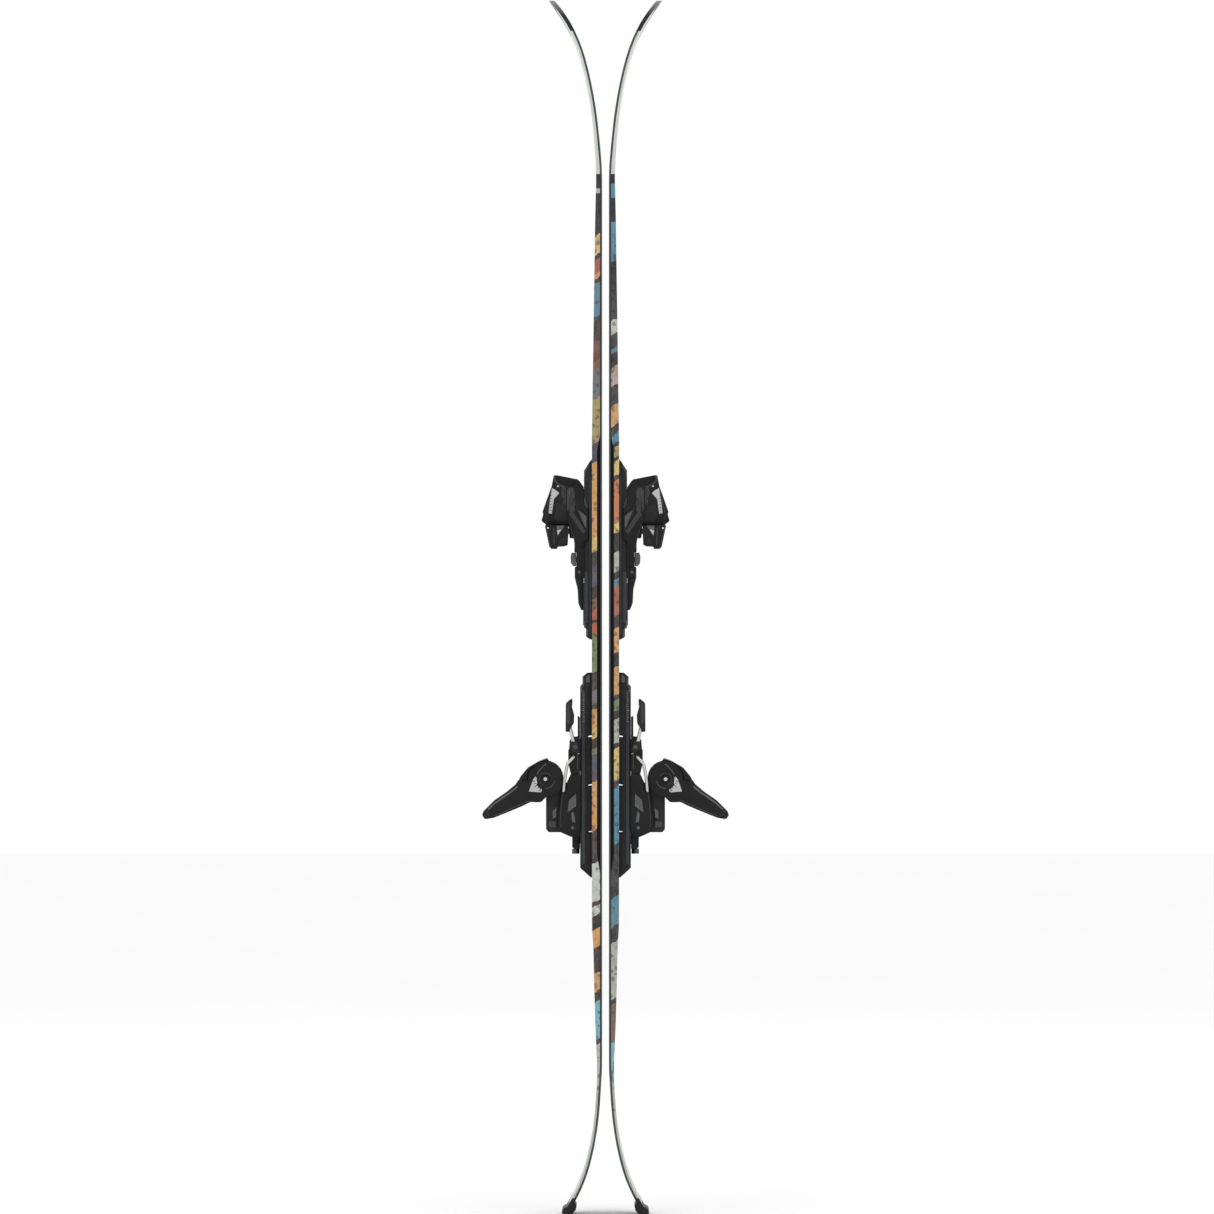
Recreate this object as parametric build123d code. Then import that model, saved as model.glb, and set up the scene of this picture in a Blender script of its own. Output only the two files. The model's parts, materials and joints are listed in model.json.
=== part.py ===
from build123d import *
import math
import os

os.makedirs("parts", exist_ok=True)

# A pair of alpine skis with bindings, standing on their tails, tips up,
# running base to running base.  Millimetres, +Z up along the skis, +X across
# the pair, +Y along the skis' width.  The origin is on the floor at the middle
# of the pair.  Points on a ski are written (z, h): z is the height above the
# floor, h the distance outwards from the plane of that ski's running base.

# ---------------------------------------------------------------- dimensions
BASE_GAP = 9.6          # free gap between the two running bases
TIP_Z = 1722.8          # top of the tip
TAIL_Z = 3.6            # end of the ski body inside the tail guard
WAIST_W = 84.5          # narrowest width
TIP_W = 119.5           # widest, near the tip
TAIL_W = 110.0          # widest, near the tail
T_MID = 14.4            # thickness underfoot
EDGE_H = 2.2            # steel edge and base height
EDGE_W = 2.4            # steel edge width
CAP_T = 1.2             # top sheet and laminate over the core
WALL_IN = 4.0           # side wall thickness outside the core
RUN = 0.4               # running gap between sliding pieces
FIT = 0.05              # radial clearance of a turning shaft

TRACK_T_TOP = 25.7      # top of the toe track
TRACK_H_TOP = 31.1      # top of the heel track

WING_PIN = (969.5, 31.0)        # wing pin, z and lateral place
LEVER_PIN = (911.5, 32.5)       # toe lock lever pin, z and h
SET_H = 52.0                    # toe release screw, h
HEAD = (618.4, 80.2)            # heel axle, z and h
BRAKE_PIN = (664.0, 37.6)       # brake pivot, z and h
PRESS_H = 37.4                  # forward-pressure screw, h
HEEL_SET_H = 70.5               # heel release screw, h
ARM_V = 52.0                    # lateral place of the brake arms
WIRE_R = 2.4                    # brake wire radius

G = BASE_GAP / 2


# ------------------------------------------------------------------- helpers
def pieces(shape):
    return list(shape.solids()) if hasattr(shape, "solids") else [s for x in shape for s in x.solids()]


def join(*shapes):
    out = shapes[0]
    for s in shapes[1:]:
        out = out + s
    return out


def ring(pts, place):
    """Closed wire through pts, each (a, b) or (a, b, corner radius)."""
    n = len(pts)
    edges, ends = [], []
    for i in range(n):
        a, b = pts[i][0], pts[i][1]
        r = pts[i][2] if len(pts[i]) > 2 else 0
        pa, pb = pts[i - 1], pts[(i + 1) % n]
        ua, ub = pa[0] - a, pa[1] - b
        wa, wb = pb[0] - a, pb[1] - b
        lu, lw = math.hypot(ua, ub), math.hypot(wa, wb)
        ua, ub, wa, wb = ua / lu, ub / lu, wa / lw, wb / lw
        if r <= 0:
            ends.append(((a, b), None, (a, b)))
            continue
        half = math.acos(max(-1, min(1, ua * wa + ub * wb))) / 2
        t = min(r / math.tan(half), 0.45 * lu, 0.45 * lw)
        rr = t * math.tan(half)
        ma, mb = ua + wa, ub + wb
        lm = math.hypot(ma, mb)
        d = rr / math.sin(half) - rr
        ends.append(((a + ua * t, b + ub * t), (a + ma / lm * d, b + mb / lm * d), (a + wa * t, b + wb * t)))
    for i in range(n):
        s, m, e = ends[i]
        if m is not None:
            edges.append(Edge.make_three_point_arc(place(*s), place(*m), place(*e)))
        nxt = ends[(i + 1) % n][0]
        if math.hypot(nxt[0] - e[0], nxt[1] - e[1]) > 1e-6:
            edges.append(Edge.make_line(place(*e), place(*nxt)))
    return Wire(edges)


def prism_y(pts, v0, v1):
    """Side profile of (z, h) points, from lateral v0 to v1."""
    w = ring(pts, lambda z, h: Vector(G + h, v0, z))
    return Solid.extrude(Face(w), Vector(0, v1 - v0, 0))


def prism_x(pts, h0, h1):
    """Plan profile of (z, v) points, from h0 to h1."""
    w = ring(pts, lambda z, v: Vector(G + h0, v, z))
    return Solid.extrude(Face(w), Vector(h1 - h0, 0, 0))


def prism_z(pts, z0, z1):
    """Cross-section of (v, h) points, from z0 to z1."""
    w = ring(pts, lambda v, h: Vector(G + h, v, z0))
    return Solid.extrude(Face(w), Vector(0, 0, z1 - z0))


def block(z0, z1, h0, h1, v0, v1):
    return Solid.make_box(h1 - h0, v1 - v0, z1 - z0, Plane(origin=(G + h0, v0, z0)))


def rod_y(z, h, v0, v1, r):
    return Solid.make_cylinder(r, v1 - v0, Plane(origin=(G + h, v0, z), x_dir=(1, 0, 0), z_dir=(0, 1, 0)))


def rod_z(z0, z1, h, r, v=0.0):
    return Solid.make_cylinder(r, z1 - z0, Plane(origin=(G + h, v, z0), x_dir=(1, 0, 0), z_dir=(0, 0, 1)))


def rod_x(h0, h1, z, v, r):
    return Solid.make_cylinder(r, h1 - h0, Plane(origin=(G + h0, v, z), x_dir=(0, 1, 0), z_dir=(1, 0, 0)))


def pair_y(pts, va, vb):
    return join(prism_y(pts, va, vb), prism_y(pts, -vb, -va))


# ------------------------------------------------------------ ski: its curves
# running base: distance out from the base plane, flat from TAIL_FLAT to TIP_FLAT
TIP_FLAT, TAIL_FLAT = 1467.6, 218.0
ROCK_TIP = [(1467.6, 0.0), (1496.0, 1.3), (1524.4, 3.9), (1552.8, 7.1), (1581.2, 11.4), (1609.6, 17.0),
            (1638.0, 24.1), (1655.0, 29.6), (1672.0, 36.6), (1689.0, 45.2), (1706.2, 56.2), (1722.8, 68.5),
            (1732.0, 75.8)]
ROCK_TAIL = [(218.0, 0.0), (189.6, 1.2), (161.2, 2.9), (132.8, 5.7), (104.4, 10.1), (76.0, 16.6),
             (58.9, 21.6), (41.9, 28.2), (24.9, 36.3), (7.8, 46.6), (-6.0, 56.2)]
THICK = [(-20, 5.4), (100, 5.6), (190, 6.2), (246, 8.5), (303, 10.6), (388, 12.8), (445, T_MID),
         (1098, T_MID), (1155, 13.6), (1269, 12.0), (1354, 10.6), (1439, 9.2), (1520, 7.2), (1600, 5.7),
         (1740, 5.2)]
# side wall height above the base: tall black wall underfoot, a thin line elsewhere
WALL_LOW, WALL_HIGH = 3.0, 7.2
WALL_STEPS = (486.0, 512.0, 1084.0, 1104.0)


def lerp(table, x):
    for (xa, ya), (xb, yb) in zip(table, table[1:]):
        if x <= xb:
            t = (x - xa) / (xb - xa)
            return ya + (yb - ya) * t
    return table[-1][1]


def rocker(points):
    return [Vector(h, 0, z) for z, h in points]


def offset_points(points, dist):
    """Points moved outwards, square to the curve, by dist(z)."""
    out = []
    n = len(points)
    for i, (z, h) in enumerate(points):
        za, ha = points[max(0, i - 1)]
        zb, hb = points[min(n - 1, i + 1)]
        s = 0.0 if i == 0 else (hb - ha) / (zb - za)
        L = math.hypot(1.0, s)
        d = dist(z)
        out.append((z - d * s / L, h + d / L))
    return out


def slab(low, high, y0=-80.0, y1=80.0):
    """The full-length sheet between two offsets of the base curve."""
    def side(dist, flat_lo, flat_hi):
        tail = offset_points(ROCK_TAIL, dist)
        tip = offset_points(ROCK_TIP, dist)
        mid = []
        for z, _ in THICK:
            if TAIL_FLAT < z < TIP_FLAT:
                mid.append((z, dist(z)))
        lower = list(reversed(tail)) + [p for p in mid if p[0] < flat_lo]
        if flat_lo > TAIL_FLAT:
            lower.append((flat_lo, dist(flat_lo)))
        upper = [p for p in mid if p[0] > flat_hi] + tip
        if flat_hi < TIP_FLAT:
            upper.insert(0, (flat_hi, dist(flat_hi)))
        return lower, upper

    def edges(dist, flat_lo, flat_hi):
        lower, upper = side(dist, flat_lo, flat_hi)
        def V(p):
            return Vector(G + p[1], y0, p[0])
        a = Edge.make_spline([V(p) for p in lower],
                             tangents=[V(lower[1]) - V(lower[0]), Vector(0, 0, 1)], scale=True)
        b = Edge.make_line(V(lower[-1]), V(upper[0]))
        c = Edge.make_spline([V(p) for p in upper],
                             tangents=[Vector(0, 0, 1), V(upper[-1]) - V(upper[-2])], scale=True)
        return a, b, c, V(lower[0]), V(upper[-1])

    lo = edges(low[0], low[1], low[2])
    hi = edges(high[0], high[1], high[2])
    all_edges = [lo[0], lo[1], lo[2], Edge.make_line(lo[4], hi[4]), hi[2], hi[1], hi[0],
                 Edge.make_line(hi[3], lo[3])]
    f = Face(Wire(all_edges))
    return Solid.extrude(f, Vector(0, y1 - y0, 0))


BASE_LINE = (lambda z: 0.0, TAIL_FLAT, TIP_FLAT)
EDGE_LINE = (lambda z: EDGE_H, TAIL_FLAT, TIP_FLAT)
TOP_LINE = (lambda z: lerp(THICK, z), 445.0, 1098.0)
CORE_LINE = (lambda z: lerp(THICK, z) - CAP_T, 445.0, 1098.0)

# half widths along the ski
SIDE = [(100.0, 53.2), (165.0, TAIL_W / 2), (300.0, 52.6), (450.0, 48.2), (620.0, 44.0), (800.0, WAIST_W / 2),
        (980.0, 43.6), (1150.0, 47.2), (1300.0, 52.0), (1430.0, 56.8), (1545.0, TIP_W / 2), (1600.0, 58.9)]
TIP_ARC = [(1600.0, 58.9), (1640.0, 55.2), (1670.0, 49.4), (1695.0, 40.2), (1710.0, 30.4), (1719.0, 18.0),
           (TIP_Z, 0.0)]
TAIL_ARC = [(100.0, 53.2), (66.0, 50.4), (40.0, 45.6), (20.0, 38.4), (9.0, 29.6), (4.8, 18.0), (TAIL_Z, 0.0)]


def outline(inset, x0=-5.0, x1=130.0):
    """Plan outline pulled in by inset, as a prism through the thickness."""
    def pull(points):
        out = []
        n = len(points)
        for i, (z, v) in enumerate(points):
            if i == n - 1:
                s = 1 if points is TIP_ARC else -1
                out.append((z - s * inset, 0.0))
                continue
            za, va = points[max(0, i - 1)]
            zb, vb = points[i + 1]
            tz, tv = zb - za, vb - va
            L = math.hypot(tz, tv)
            nz, nv = -tv / L, tz / L
            if nv < 0:
                nz, nv = -nz, -nv
            out.append((z - nz * inset, v - nv * inset))
        return out

    side = [(z, v - inset) for z, v in SIDE]
    tip = [side[-1]] + pull(TIP_ARC)[1:]
    tail = [side[0]] + pull(TAIL_ARC)[1:]

    def make(s):
        def V(p):
            return Vector(x0, s * p[1], p[0])
        t_lo = (V(side[1]) - V(side[0])).normalized()
        t_hi = (V((1600.0, 58.1)) - V((1560.0, 59.7))).normalized()
        a = Edge.make_spline([V(p) for p in side], tangents=[t_lo, t_hi], scale=True)
        b = Edge.make_spline([V(p) for p in tip], tangents=[t_hi, Vector(0, -s, 0)], scale=True)
        c = Edge.make_spline([V(p) for p in tail], tangents=[t_lo * -1, Vector(0, -s, 0)], scale=True)
        return a, b, c

    ra, rb, rc = make(1)
    la, lb, lc = make(-1)
    f = Face(Wire([rc, ra, rb, lb, la, lc]))
    return Solid.extrude(f, Vector(x1 - x0, 0, 0))


FULL = outline(0.0)
IN_EDGE = outline(EDGE_W)
IN_CORE = outline(WALL_IN)
IN_GUARD = outline(13.0)

# the guards: a crescent at the tip, and a clamped block at the tail
TIP_GUARD_Z = 1676.0
TAIL_GUARD_Z = 26.0


def far(z0, z1):
    return Solid.make_box(140, 170, z1 - z0, Plane(origin=(-10, -85, z0)))


guard_zone_tip = (FULL & far(TIP_GUARD_Z, 1760)) - IN_GUARD
guard_zone_tail = (FULL & far(-10, TAIL_GUARD_Z)) - IN_GUARD
core_zone = IN_CORE & far(58.0, 1668.0)

S_BASE = slab(BASE_LINE, EDGE_LINE)
S_CORE = slab(EDGE_LINE, CORE_LINE)
S_ALL = slab(BASE_LINE, TOP_LINE)
S_UP = slab(EDGE_LINE, TOP_LINE)

# mounting screws: a countersunk head in the track, a shank into the core
SCREWS_TOE = [(1046.0, 21.0), (1046.0, -21.0), (848.0, 21.0), (848.0, -21.0)]
SCREWS_HEEL = [(722.0, 19.5), (722.0, -19.5), (506.0, 19.5), (506.0, -19.5)]


def screw(z, v, seat):
    s = join(rod_x(6.0, seat, z, v, 2.6), rod_x(seat, seat + 2.4, z, v, 4.6))
    cross = join(block(z - 2.8, z + 2.8, seat + 1.3, seat + 3, v - 0.55, v + 0.55),
                 block(z - 0.55, z + 0.55, seat + 1.3, seat + 3, v - 2.8, v + 2.8))
    return s - cross


def screw_hole(z, v, seat, top):
    return join(rod_x(6.0, seat, z, v, 2.6), rod_x(seat, top + 1, z, v, 4.6))


screws = [screw(z, v, 17.6) for z, v in SCREWS_TOE] + [screw(z, v, 19.0) for z, v in SCREWS_HEEL]
shanks = [rod_x(6.0, 20.0, z, v, 2.6) for z, v in SCREWS_TOE + SCREWS_HEEL]

# ---------------------------------------------------------------- the ski body
guards_out = [guard_zone_tip, guard_zone_tail]


def minus(shape, cutters):
    for c in cutters:
        shape = shape - c
    return shape


ski_base = minus(S_BASE & IN_EDGE, guards_out)
steel_edges = minus((S_BASE & FULL) - IN_EDGE, guards_out)
core = S_CORE & core_zone
wood_core = minus(core, shanks)

# cap and side walls: the cap comes down the sides to the wall line
upper = minus((S_UP & FULL) - core, guards_out)


def wall_face():
    """Region below the wall line, as a side profile."""
    dist = lambda z: WALL_LOW
    tail = offset_points(ROCK_TAIL, dist)
    tip = offset_points(ROCK_TIP, dist)
    V = lambda p: Vector(G + p[1], -80.0, p[0])
    low_tail = [V(p) for p in reversed(tail)]
    low_tip = [V(p) for p in tip]
    e1 = Edge.make_spline(low_tail, tangents=[low_tail[1] - low_tail[0], Vector(0, 0, 1)], scale=True)
    steps = [(TAIL_FLAT, WALL_LOW), (WALL_STEPS[0], WALL_LOW), (WALL_STEPS[1], WALL_HIGH),
             (WALL_STEPS[2], WALL_HIGH), (WALL_STEPS[3], WALL_LOW), (TIP_FLAT, WALL_LOW)]
    lines = [Edge.make_line(V(a), V(b)) for a, b in zip(steps, steps[1:])]
    e2 = Edge.make_spline(low_tip, tangents=[Vector(0, 0, 1), low_tip[-1] - low_tip[-2]], scale=True)
    a, b = low_tail[0], low_tip[-1]
    far_low = Vector(-60, -80, a.Z)
    far_high = Vector(-60, -80, b.Z)
    closing = [Edge.make_line(b, far_high), Edge.make_line(far_high, far_low), Edge.make_line(far_low, a)]
    f = Face(Wire([e1] + lines + [e2] + closing))
    return Solid.extrude(f, Vector(0, 160, 0))


WALL_ZONE = wall_face()
sidewalls = upper & WALL_ZONE
top_cap = minus(upper - WALL_ZONE, shanks)

tip_guard = S_ALL & guard_zone_tip
tail_crescent = S_ALL & guard_zone_tail
# the tail block: clamped round the end, flat underneath to stand on
tail_block = prism_y([(0.0, 44.0, 0), (0.0, 54.0, 2.0), (4.0, 57.0, 2.0), (9.0, 56.0, 2.0), (12.5, 50.0, 2.0),
                      (17.6, 44.0, 2.0), (18.2, 38.6, 2.0), (14.0, 36.0, 2.0), (8.0, 37.4, 2.0)], -30.0, 30.0)
block_plan = prism_x([(0.0, -30.0, 7.0), (0.0, 30.0, 7.0), (22.0, 25.0, 6.0), (22.0, -25.0, 6.0)], -5.0, 90.0)
tail_block = tail_block & block_plan
tail_guard = join(tail_crescent, tail_block)
tail_cut = minus(S_ALL & FULL, [guard_zone_tail])
tail_guard = tail_guard - tail_cut

# ----------------------------------------------------------------- toe track
toe_track = prism_y([(1071.7, T_MID), (1068.0, 17.6, 2), (1055.0, TRACK_T_TOP, 3), (832.7, TRACK_T_TOP, 1),
                     (831.7, 22.7), (819.6, 22.7, 1.5), (815.8, 16.0, 1), (815.8, T_MID)], -34.0, 34.0)
toe_track = toe_track & prism_z([(-34, 14), (34, 14), (34, 19.0, 1), (30, 19.0), (30, 26.5), (-30, 26.5),
                                 (-30, 19.0), (-34, 19.0, 1)], 800, 1080)
toe_track = toe_track & prism_x([(1072, -22, 10), (1072, 22, 10), (1050, 34.2, 8), (815, 34.2, 8), (815, -34.2, 8),
                                 (1050, -34.2, 8)], 10, 30)
toe_track = minus(toe_track, [block(846.0, 1050.0, 19.5, 23.2, -8.0, 8.0),
                              block(846.0, 1050.0, 23.0, 27.0, -5.2, 5.2)])
toe_track = minus(toe_track, [screw_hole(z, v, 17.6, TRACK_T_TOP) for z, v in SCREWS_TOE])

# ----------------------------------------------------------------- toe body
front = prism_y([(1032.1, 26.1), (1040.7, 32.2, 2), (1043.0, 34.9, 2), (1048.8, 64.0, 2), (1048.8, 68.6, 2),
                 (1032.9, 71.6, 8), (1017.0, 77.5, 8), (997.0, 84.5, 1.5), (993.0, 83.5, 1.5), (984.1, 86.2, 2),
                 (979.6, 80.5, 1), (979.6, 26.1)], -35.0, 35.0)
front = front & prism_z([(-35, 26.0), (-35, 37, 3), (-28.4, 43, 4), (-28.4, 58, 12), (-19.5, 87, 3), (19.5, 87, 3),
                         (28.4, 58, 12), (28.4, 43, 4), (35, 37, 3), (35, 26.0)], 970, 1060)
front = front & prism_x([(979.0, -36), (1004.0, -36, 10), (1030, -29, 20), (1050, -20.5, 6), (1050, 20.5, 6),
                         (1030, 29, 20), (1004.0, 36, 10), (979.0, 36)], 20, 95)
plate = prism_y([(1020.0, 26.1), (919.6, 26.1), (919.6, 36.2), (939.6, 36.2), (939.6, 39.3, 1), (959.4, 39.3),
                 (959.9, 45.9, 1), (970.1, 47.2), (985.0, 47.2), (1020.0, 46.0)], -35.4, 35.4)
plate = plate & prism_x([(919.6, -30, 0), (919.6, 30, 0), (945, 30, 4), (958, 37.5, 6), (982, 37.5, 6), (1004, 34, 4),
                         (1020, 30), (1020, -30), (1004, -34, 4), (982, -37.5, 6), (958, -37.5, 6), (945, -30, 4)],
                        20, 60)
skirt_pts = [(1018.0, 40.0, 2), (1008.0, 26.0, 2), (999.0, 19.6, 2), (958.0, 19.6, 2), (955.0, 26.5, 1),
             (960.0, 38.0, 2), (985.0, 44.0)]
skirts = pair_y(skirt_pts, 30.5, 35.4)
ears = pair_y([(919.6, 26.1), (919.6, 36.2), (918.3, 38.8, 1.5), (905.0, 38.8, 3), (902.6, 26.1)], 22.2, 28.0)
foot = join(block(962.0, 1030.0, 22.6, 26.2, -4.8, 4.8), block(962.0, 1030.0, 19.9, 22.8, -7.6, 7.6))
bridge = block(976.4, 981.0, 46.0, 73.6, -11.5, 11.5)
toe_body = join(front, plate, skirts, ears, foot, bridge)
brace_cut = pair_y([(1003.5, 36.0, 1.5), (990.5, 21.8, 1.5), (967.5, 21.8, 1.5)], 34.3, 40.0)
lens = pair_y([(1060.0, 66.5), (1046.0, 65.5, 2), (1038.0, 60.0, 5), (1033.5, 50.0, 8), (1033.0, 41.0, 4),
               (1037.0, 36.5, 2), (1060.0, 36.5)], 18.8, 40.0)
well = prism_z([(-16.5, 38.5, 5), (16.5, 38.5, 5), (16.5, 64.0, 5), (-16.5, 64.0, 5)], 1022.0, 1060.0)
toe_body = minus(toe_body, [
    brace_cut, well, lens,
    rod_z(986.5, 1016.0, SET_H, 11.0), rod_z(1010.0, 1023.0, SET_H, 4.0 + FIT),
    block(924.8, 933.2, 31.0, 37.0, -27.0, 27.0),
    rod_x(30.0, 60.0, WING_PIN[0], WING_PIN[1], 3.5), rod_x(30.0, 60.0, WING_PIN[0], -WING_PIN[1], 3.5),
    rod_y(LEVER_PIN[0], LEVER_PIN[1], -28.5, 28.5, 2.5)])
toe_pins = [rod_x(30.0, 77.6, WING_PIN[0], WING_PIN[1], 3.5), rod_x(30.0, 77.6, WING_PIN[0], -WING_PIN[1], 3.5),
            rod_y(LEVER_PIN[0], LEVER_PIN[1], -28.0, 28.0, 2.5)]
toe_piston = rod_z(987.0, 995.0, SET_H, 10.8) - rod_z(986.0, 996.0, SET_H, 4.0 + FIT)
toe_coil = rod_z(995.0, 1015.9, SET_H, 9.6) - rod_z(994.0, 1017.0, SET_H, 6.0)
toe_setting_screw = join(rod_z(989.0, 1022.5, SET_H, 4.0), rod_z(1022.4, 1031.5, SET_H, 9.0))
toe_setting_screw = toe_setting_screw - join(block(1028.0, 1032.0, SET_H - 1.1, SET_H + 1.1, -7, 7),
                                             block(1028.0, 1032.0, SET_H - 7, SET_H + 7, -1.1, 1.1))

# ----------------------------------------------------------------- toe wings
wing_side = [(977.8, 48.0), (977.8, 81.1, 1.5), (947.4, 74.7, 3), (944.6, 72.4, 1.5), (944.6, 64.3, 1),
             (947.9, 63.2, 0.5), (948.4, 54.0), (950.1, 49.1, 2), (968.8, 48.0)]


def wing(s):
    low = [(977.8, 23.0, 2), (977.8, 44.0, 4), (962.0, 46.8, 8), (947.5, 45.5, 3), (944.6, 42.0, 2), (945.6, 36.6, 1),
           (955.0, 33.2), (963.0, 27.6), (971.0, 18.5, 2)]
    high = [(977.8, 21.0, 2), (977.8, 44.0, 4), (962.0, 46.8, 8), (947.5, 45.5, 3), (944.6, 42.0, 2),
            (944.6, 31.0, 3), (953.0, 25.5, 4), (962.0, 17.0, 3), (971.0, 13.0, 3)]
    flip = lambda pts: [(p[0], s * p[1]) + tuple(p[2:]) for p in pts]
    body = join(prism_x(flip(low), 48.0, 64.4), prism_x(flip(high), 64.3, 82.0))
    body = body & prism_y(wing_side, -60, 60)
    notch = prism_y([(978.6, 64.5), (978.6, 52.0), (961.0, 63.4, 1)], *((44.9, 60) if s > 0 else (-60, -44.9)))
    body = body - notch
    return body - rod_x(40.0, 78.0, WING_PIN[0], s * WING_PIN[1], 3.5 + FIT)


toe_wing_a, toe_wing_b = wing(1), wing(-1)

# --------------------------------------------- sliding plate and lock lever
afd_plate = join(prism_y([(939.0, 36.6), (939.0, 43.2, 1), (933.2, 44.7, 1), (924.3, 44.3, 1), (920.0, 41.2, 1),
                          (920.0, 36.6)], -27.0, 27.0),
                 block(925.2, 932.8, 31.4, 37.0, -20.0, 20.0))
for k in range(-3, 4):
    afd_plate = afd_plate - block(921.5, 937.5, 43.9, 46.0, 7.0 * k - 0.6, 7.0 * k + 0.6)
lever = join(rod_y(LEVER_PIN[0], LEVER_PIN[1], -21.6, 21.6, 6.3),
             prism_y([(911.5, 26.2), (911.5, 38.8), (903.3, 38.8, 3), (887.4, 34.8, 10), (867.5, 33.8, 3),
                      (857.5, 29.8, 1.2), (857.5, 26.6, 1.2), (868.0, 26.2)], -21.6, 21.6))
lever = lever & prism_x([(920.0, -22), (920.0, 22), (900.0, 22), (868.0, 17.0, 10), (857.0, 12.0, 5),
                         (857.0, -12.0, 5), (868.0, -17.0, 10), (900.0, -22)], 20, 45)
lever = lever - prism_x([(896.0, -11, 3), (896.0, 11, 3), (876.0, 8, 3), (876.0, -8, 3)], 20, 50)
toe_lock_lever = lever - rod_y(LEVER_PIN[0], LEVER_PIN[1], -30, 30, 2.5 + FIT)

# ---------------------------------------------------------------- heel track
heel_track = prism_y([(769.1, T_MID), (768.5, 21.3, 1), (763.1, 27.8, 2), (752.7, 27.8, 1), (749.5, TRACK_H_TOP, 1),
                      (492.6, TRACK_H_TOP, 2), (479.1, 16.3, 1), (478.6, T_MID)], -31.0, 31.0)
heel_track = heel_track & prism_z([(-31, 14), (31, 14), (31, 23.5, 1), (28, 23.5), (28, 32), (-28, 32), (-28, 23.5),
                                   (-31, 23.5, 1)], 470, 780)
heel_track = heel_track & prism_x([(769.5, -24, 8), (769.5, 24, 8), (755, 31.2, 6), (492, 31.2, 8), (478, 24, 8),
                                   (478, -24, 8), (492, -31.2, 8), (755, -31.2, 6)], 10, 40)
heel_track = minus(heel_track, [block(498.0, 742.0, 22.0, 28.0, -9.0, 9.0), block(498.0, 742.0, 27.0, 33.0, -5.5, 5.5),
                                *[prism_y([(z - 1.4, 13.0), (z - 1.8, 19.6), (z - 0.4, 20.6), (z + 1.2, 18.4),
                                           (z + 1.8, 13.0)], -40, 40) for z in (678.6, 609.6, 543.4)]])
heel_track = minus(heel_track, [screw_hole(z, v, 19.0, TRACK_H_TOP) for z, v in SCREWS_HEEL])

# ------------------------------------------------- carriage and its screw
heel_carriage = join(prism_y([(560.0, 31.5), (560.0, 42.6), (536.0, 42.6), (521.0, 42.4, 2), (519.0, 39.5, 1),
                              (519.0, 31.5)], -14.0, 14.0),
                     block(526.0, 559.0, 27.4, 31.6, -5.1, 5.1), block(522.0, 580.0, 22.4, 27.6, -8.6, 8.6))
heel_carriage = heel_carriage - rod_z(510.0, 556.5, PRESS_H, 3.0 + FIT)
pressure_screw = join(rod_z(518.4, 555.5, PRESS_H, 3.0), rod_z(511.8, 518.6, PRESS_H, 5.4))
pressure_screw = pressure_screw - join(block(510.0, 514.5, PRESS_H - 0.9, PRESS_H + 0.9, -4.2, 4.2),
                                       block(510.0, 514.5, PRESS_H - 4.2, PRESS_H + 4.2, -0.9, 0.9))

# -------------------------------------------------------------- heel housing
house_pts = [(626.0, 31.5), (626.0, 44.0, 1), (612.0, 50.5), (600.0, 57.5), (560.6, 62.3),
             (546.7, 61.1), (542.6, 57.8), (536.1, 43.6, 1), (536.1, 31.5)]
heel_housing = prism_y(house_pts, -32.0, 32.0)
heel_housing = heel_housing & prism_z([(-32, 31.0), (32, 31.0), (32, 50, 8), (26.5, 64), (-26.5, 64), (-32, 50, 8)],
                                      530, 630)
heel_housing = heel_housing & prism_x([(627, -32.5), (627, 32.5), (548, 32.5, 12), (536, 25, 6), (536, -25, 6),
                                       (548, -32.5, 12)], 20, 70)
facet_a = [(589.0, 47.7, 1), (593.0, 43.2, 1), (599.4, 35.8, 1), (579.6, 35.8, 1), (569.4, 50.0, 1)]
facet_b = [(571.4, 44.6, 1), (573.6, 39.7, 1), (556.0, 36.8, 1), (556.6, 43.2, 1)]
heel_housing = minus(heel_housing, [
    block(530.0, 575.0, 31.0, 43.2, -14.5, 14.5), block(574.0, 592.5, 31.0, 43.4, -6.2, 6.2),
    pair_y(facet_a, 31.0, 36.0), pair_y(facet_b, 31.0, 36.0)])
heel_housing = join(heel_housing, block(602.0, 622.0, 27.4, 31.6, -5.1, 5.1),
                    block(602.0, 622.0, 22.4, 27.6, -8.6, 8.6))

tower_pts = [(546.7, 61.1), (560.6, 62.3), (600.0, 57.5), (612.0, 50.5), (618.4, 60.0, 4), (628.0, 74.0, 4),
             (629.0, 82.0), (607.6, 84.0), (600.0, 79.5, 2), (547.0, 79.5, 4), (542.6, 75.8, 2), (542.6, 57.8)]
heel_tower = join(prism_y(tower_pts, -20.0, 20.0), rod_y(HEAD[0], HEAD[1], -20.0, 20.0, 11.0))
heel_tower = heel_tower & prism_x([(640, -21), (640, 21), (552, 21, 8), (542, 14, 5), (542, -14, 5), (552, -21, 8)],
                                  45, 95)
heel_tower = minus(heel_tower, [rod_z(562.0, 600.0, HEEL_SET_H, 8.0), rod_z(549.0, 563.0, HEEL_SET_H, 3.5 + FIT),
                                rod_z(540.0, 549.6, HEEL_SET_H, 7.4), rod_y(HEAD[0], HEAD[1], -22, 22, 4.0)])
heel_setting_screw = join(rod_z(549.8, 590.0, HEEL_SET_H, 3.5), rod_z(543.2, 549.2, HEEL_SET_H, 6.9),
                          rod_z(549.0, 550.0, HEEL_SET_H, 3.5))
heel_setting_screw = heel_setting_screw - join(
    block(542.0, 546.0, HEEL_SET_H - 1.0, HEEL_SET_H + 1.0, -5.4, 5.4),
    block(542.0, 546.0, HEEL_SET_H - 5.4, HEEL_SET_H + 5.4, -1.0, 1.0))
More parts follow.
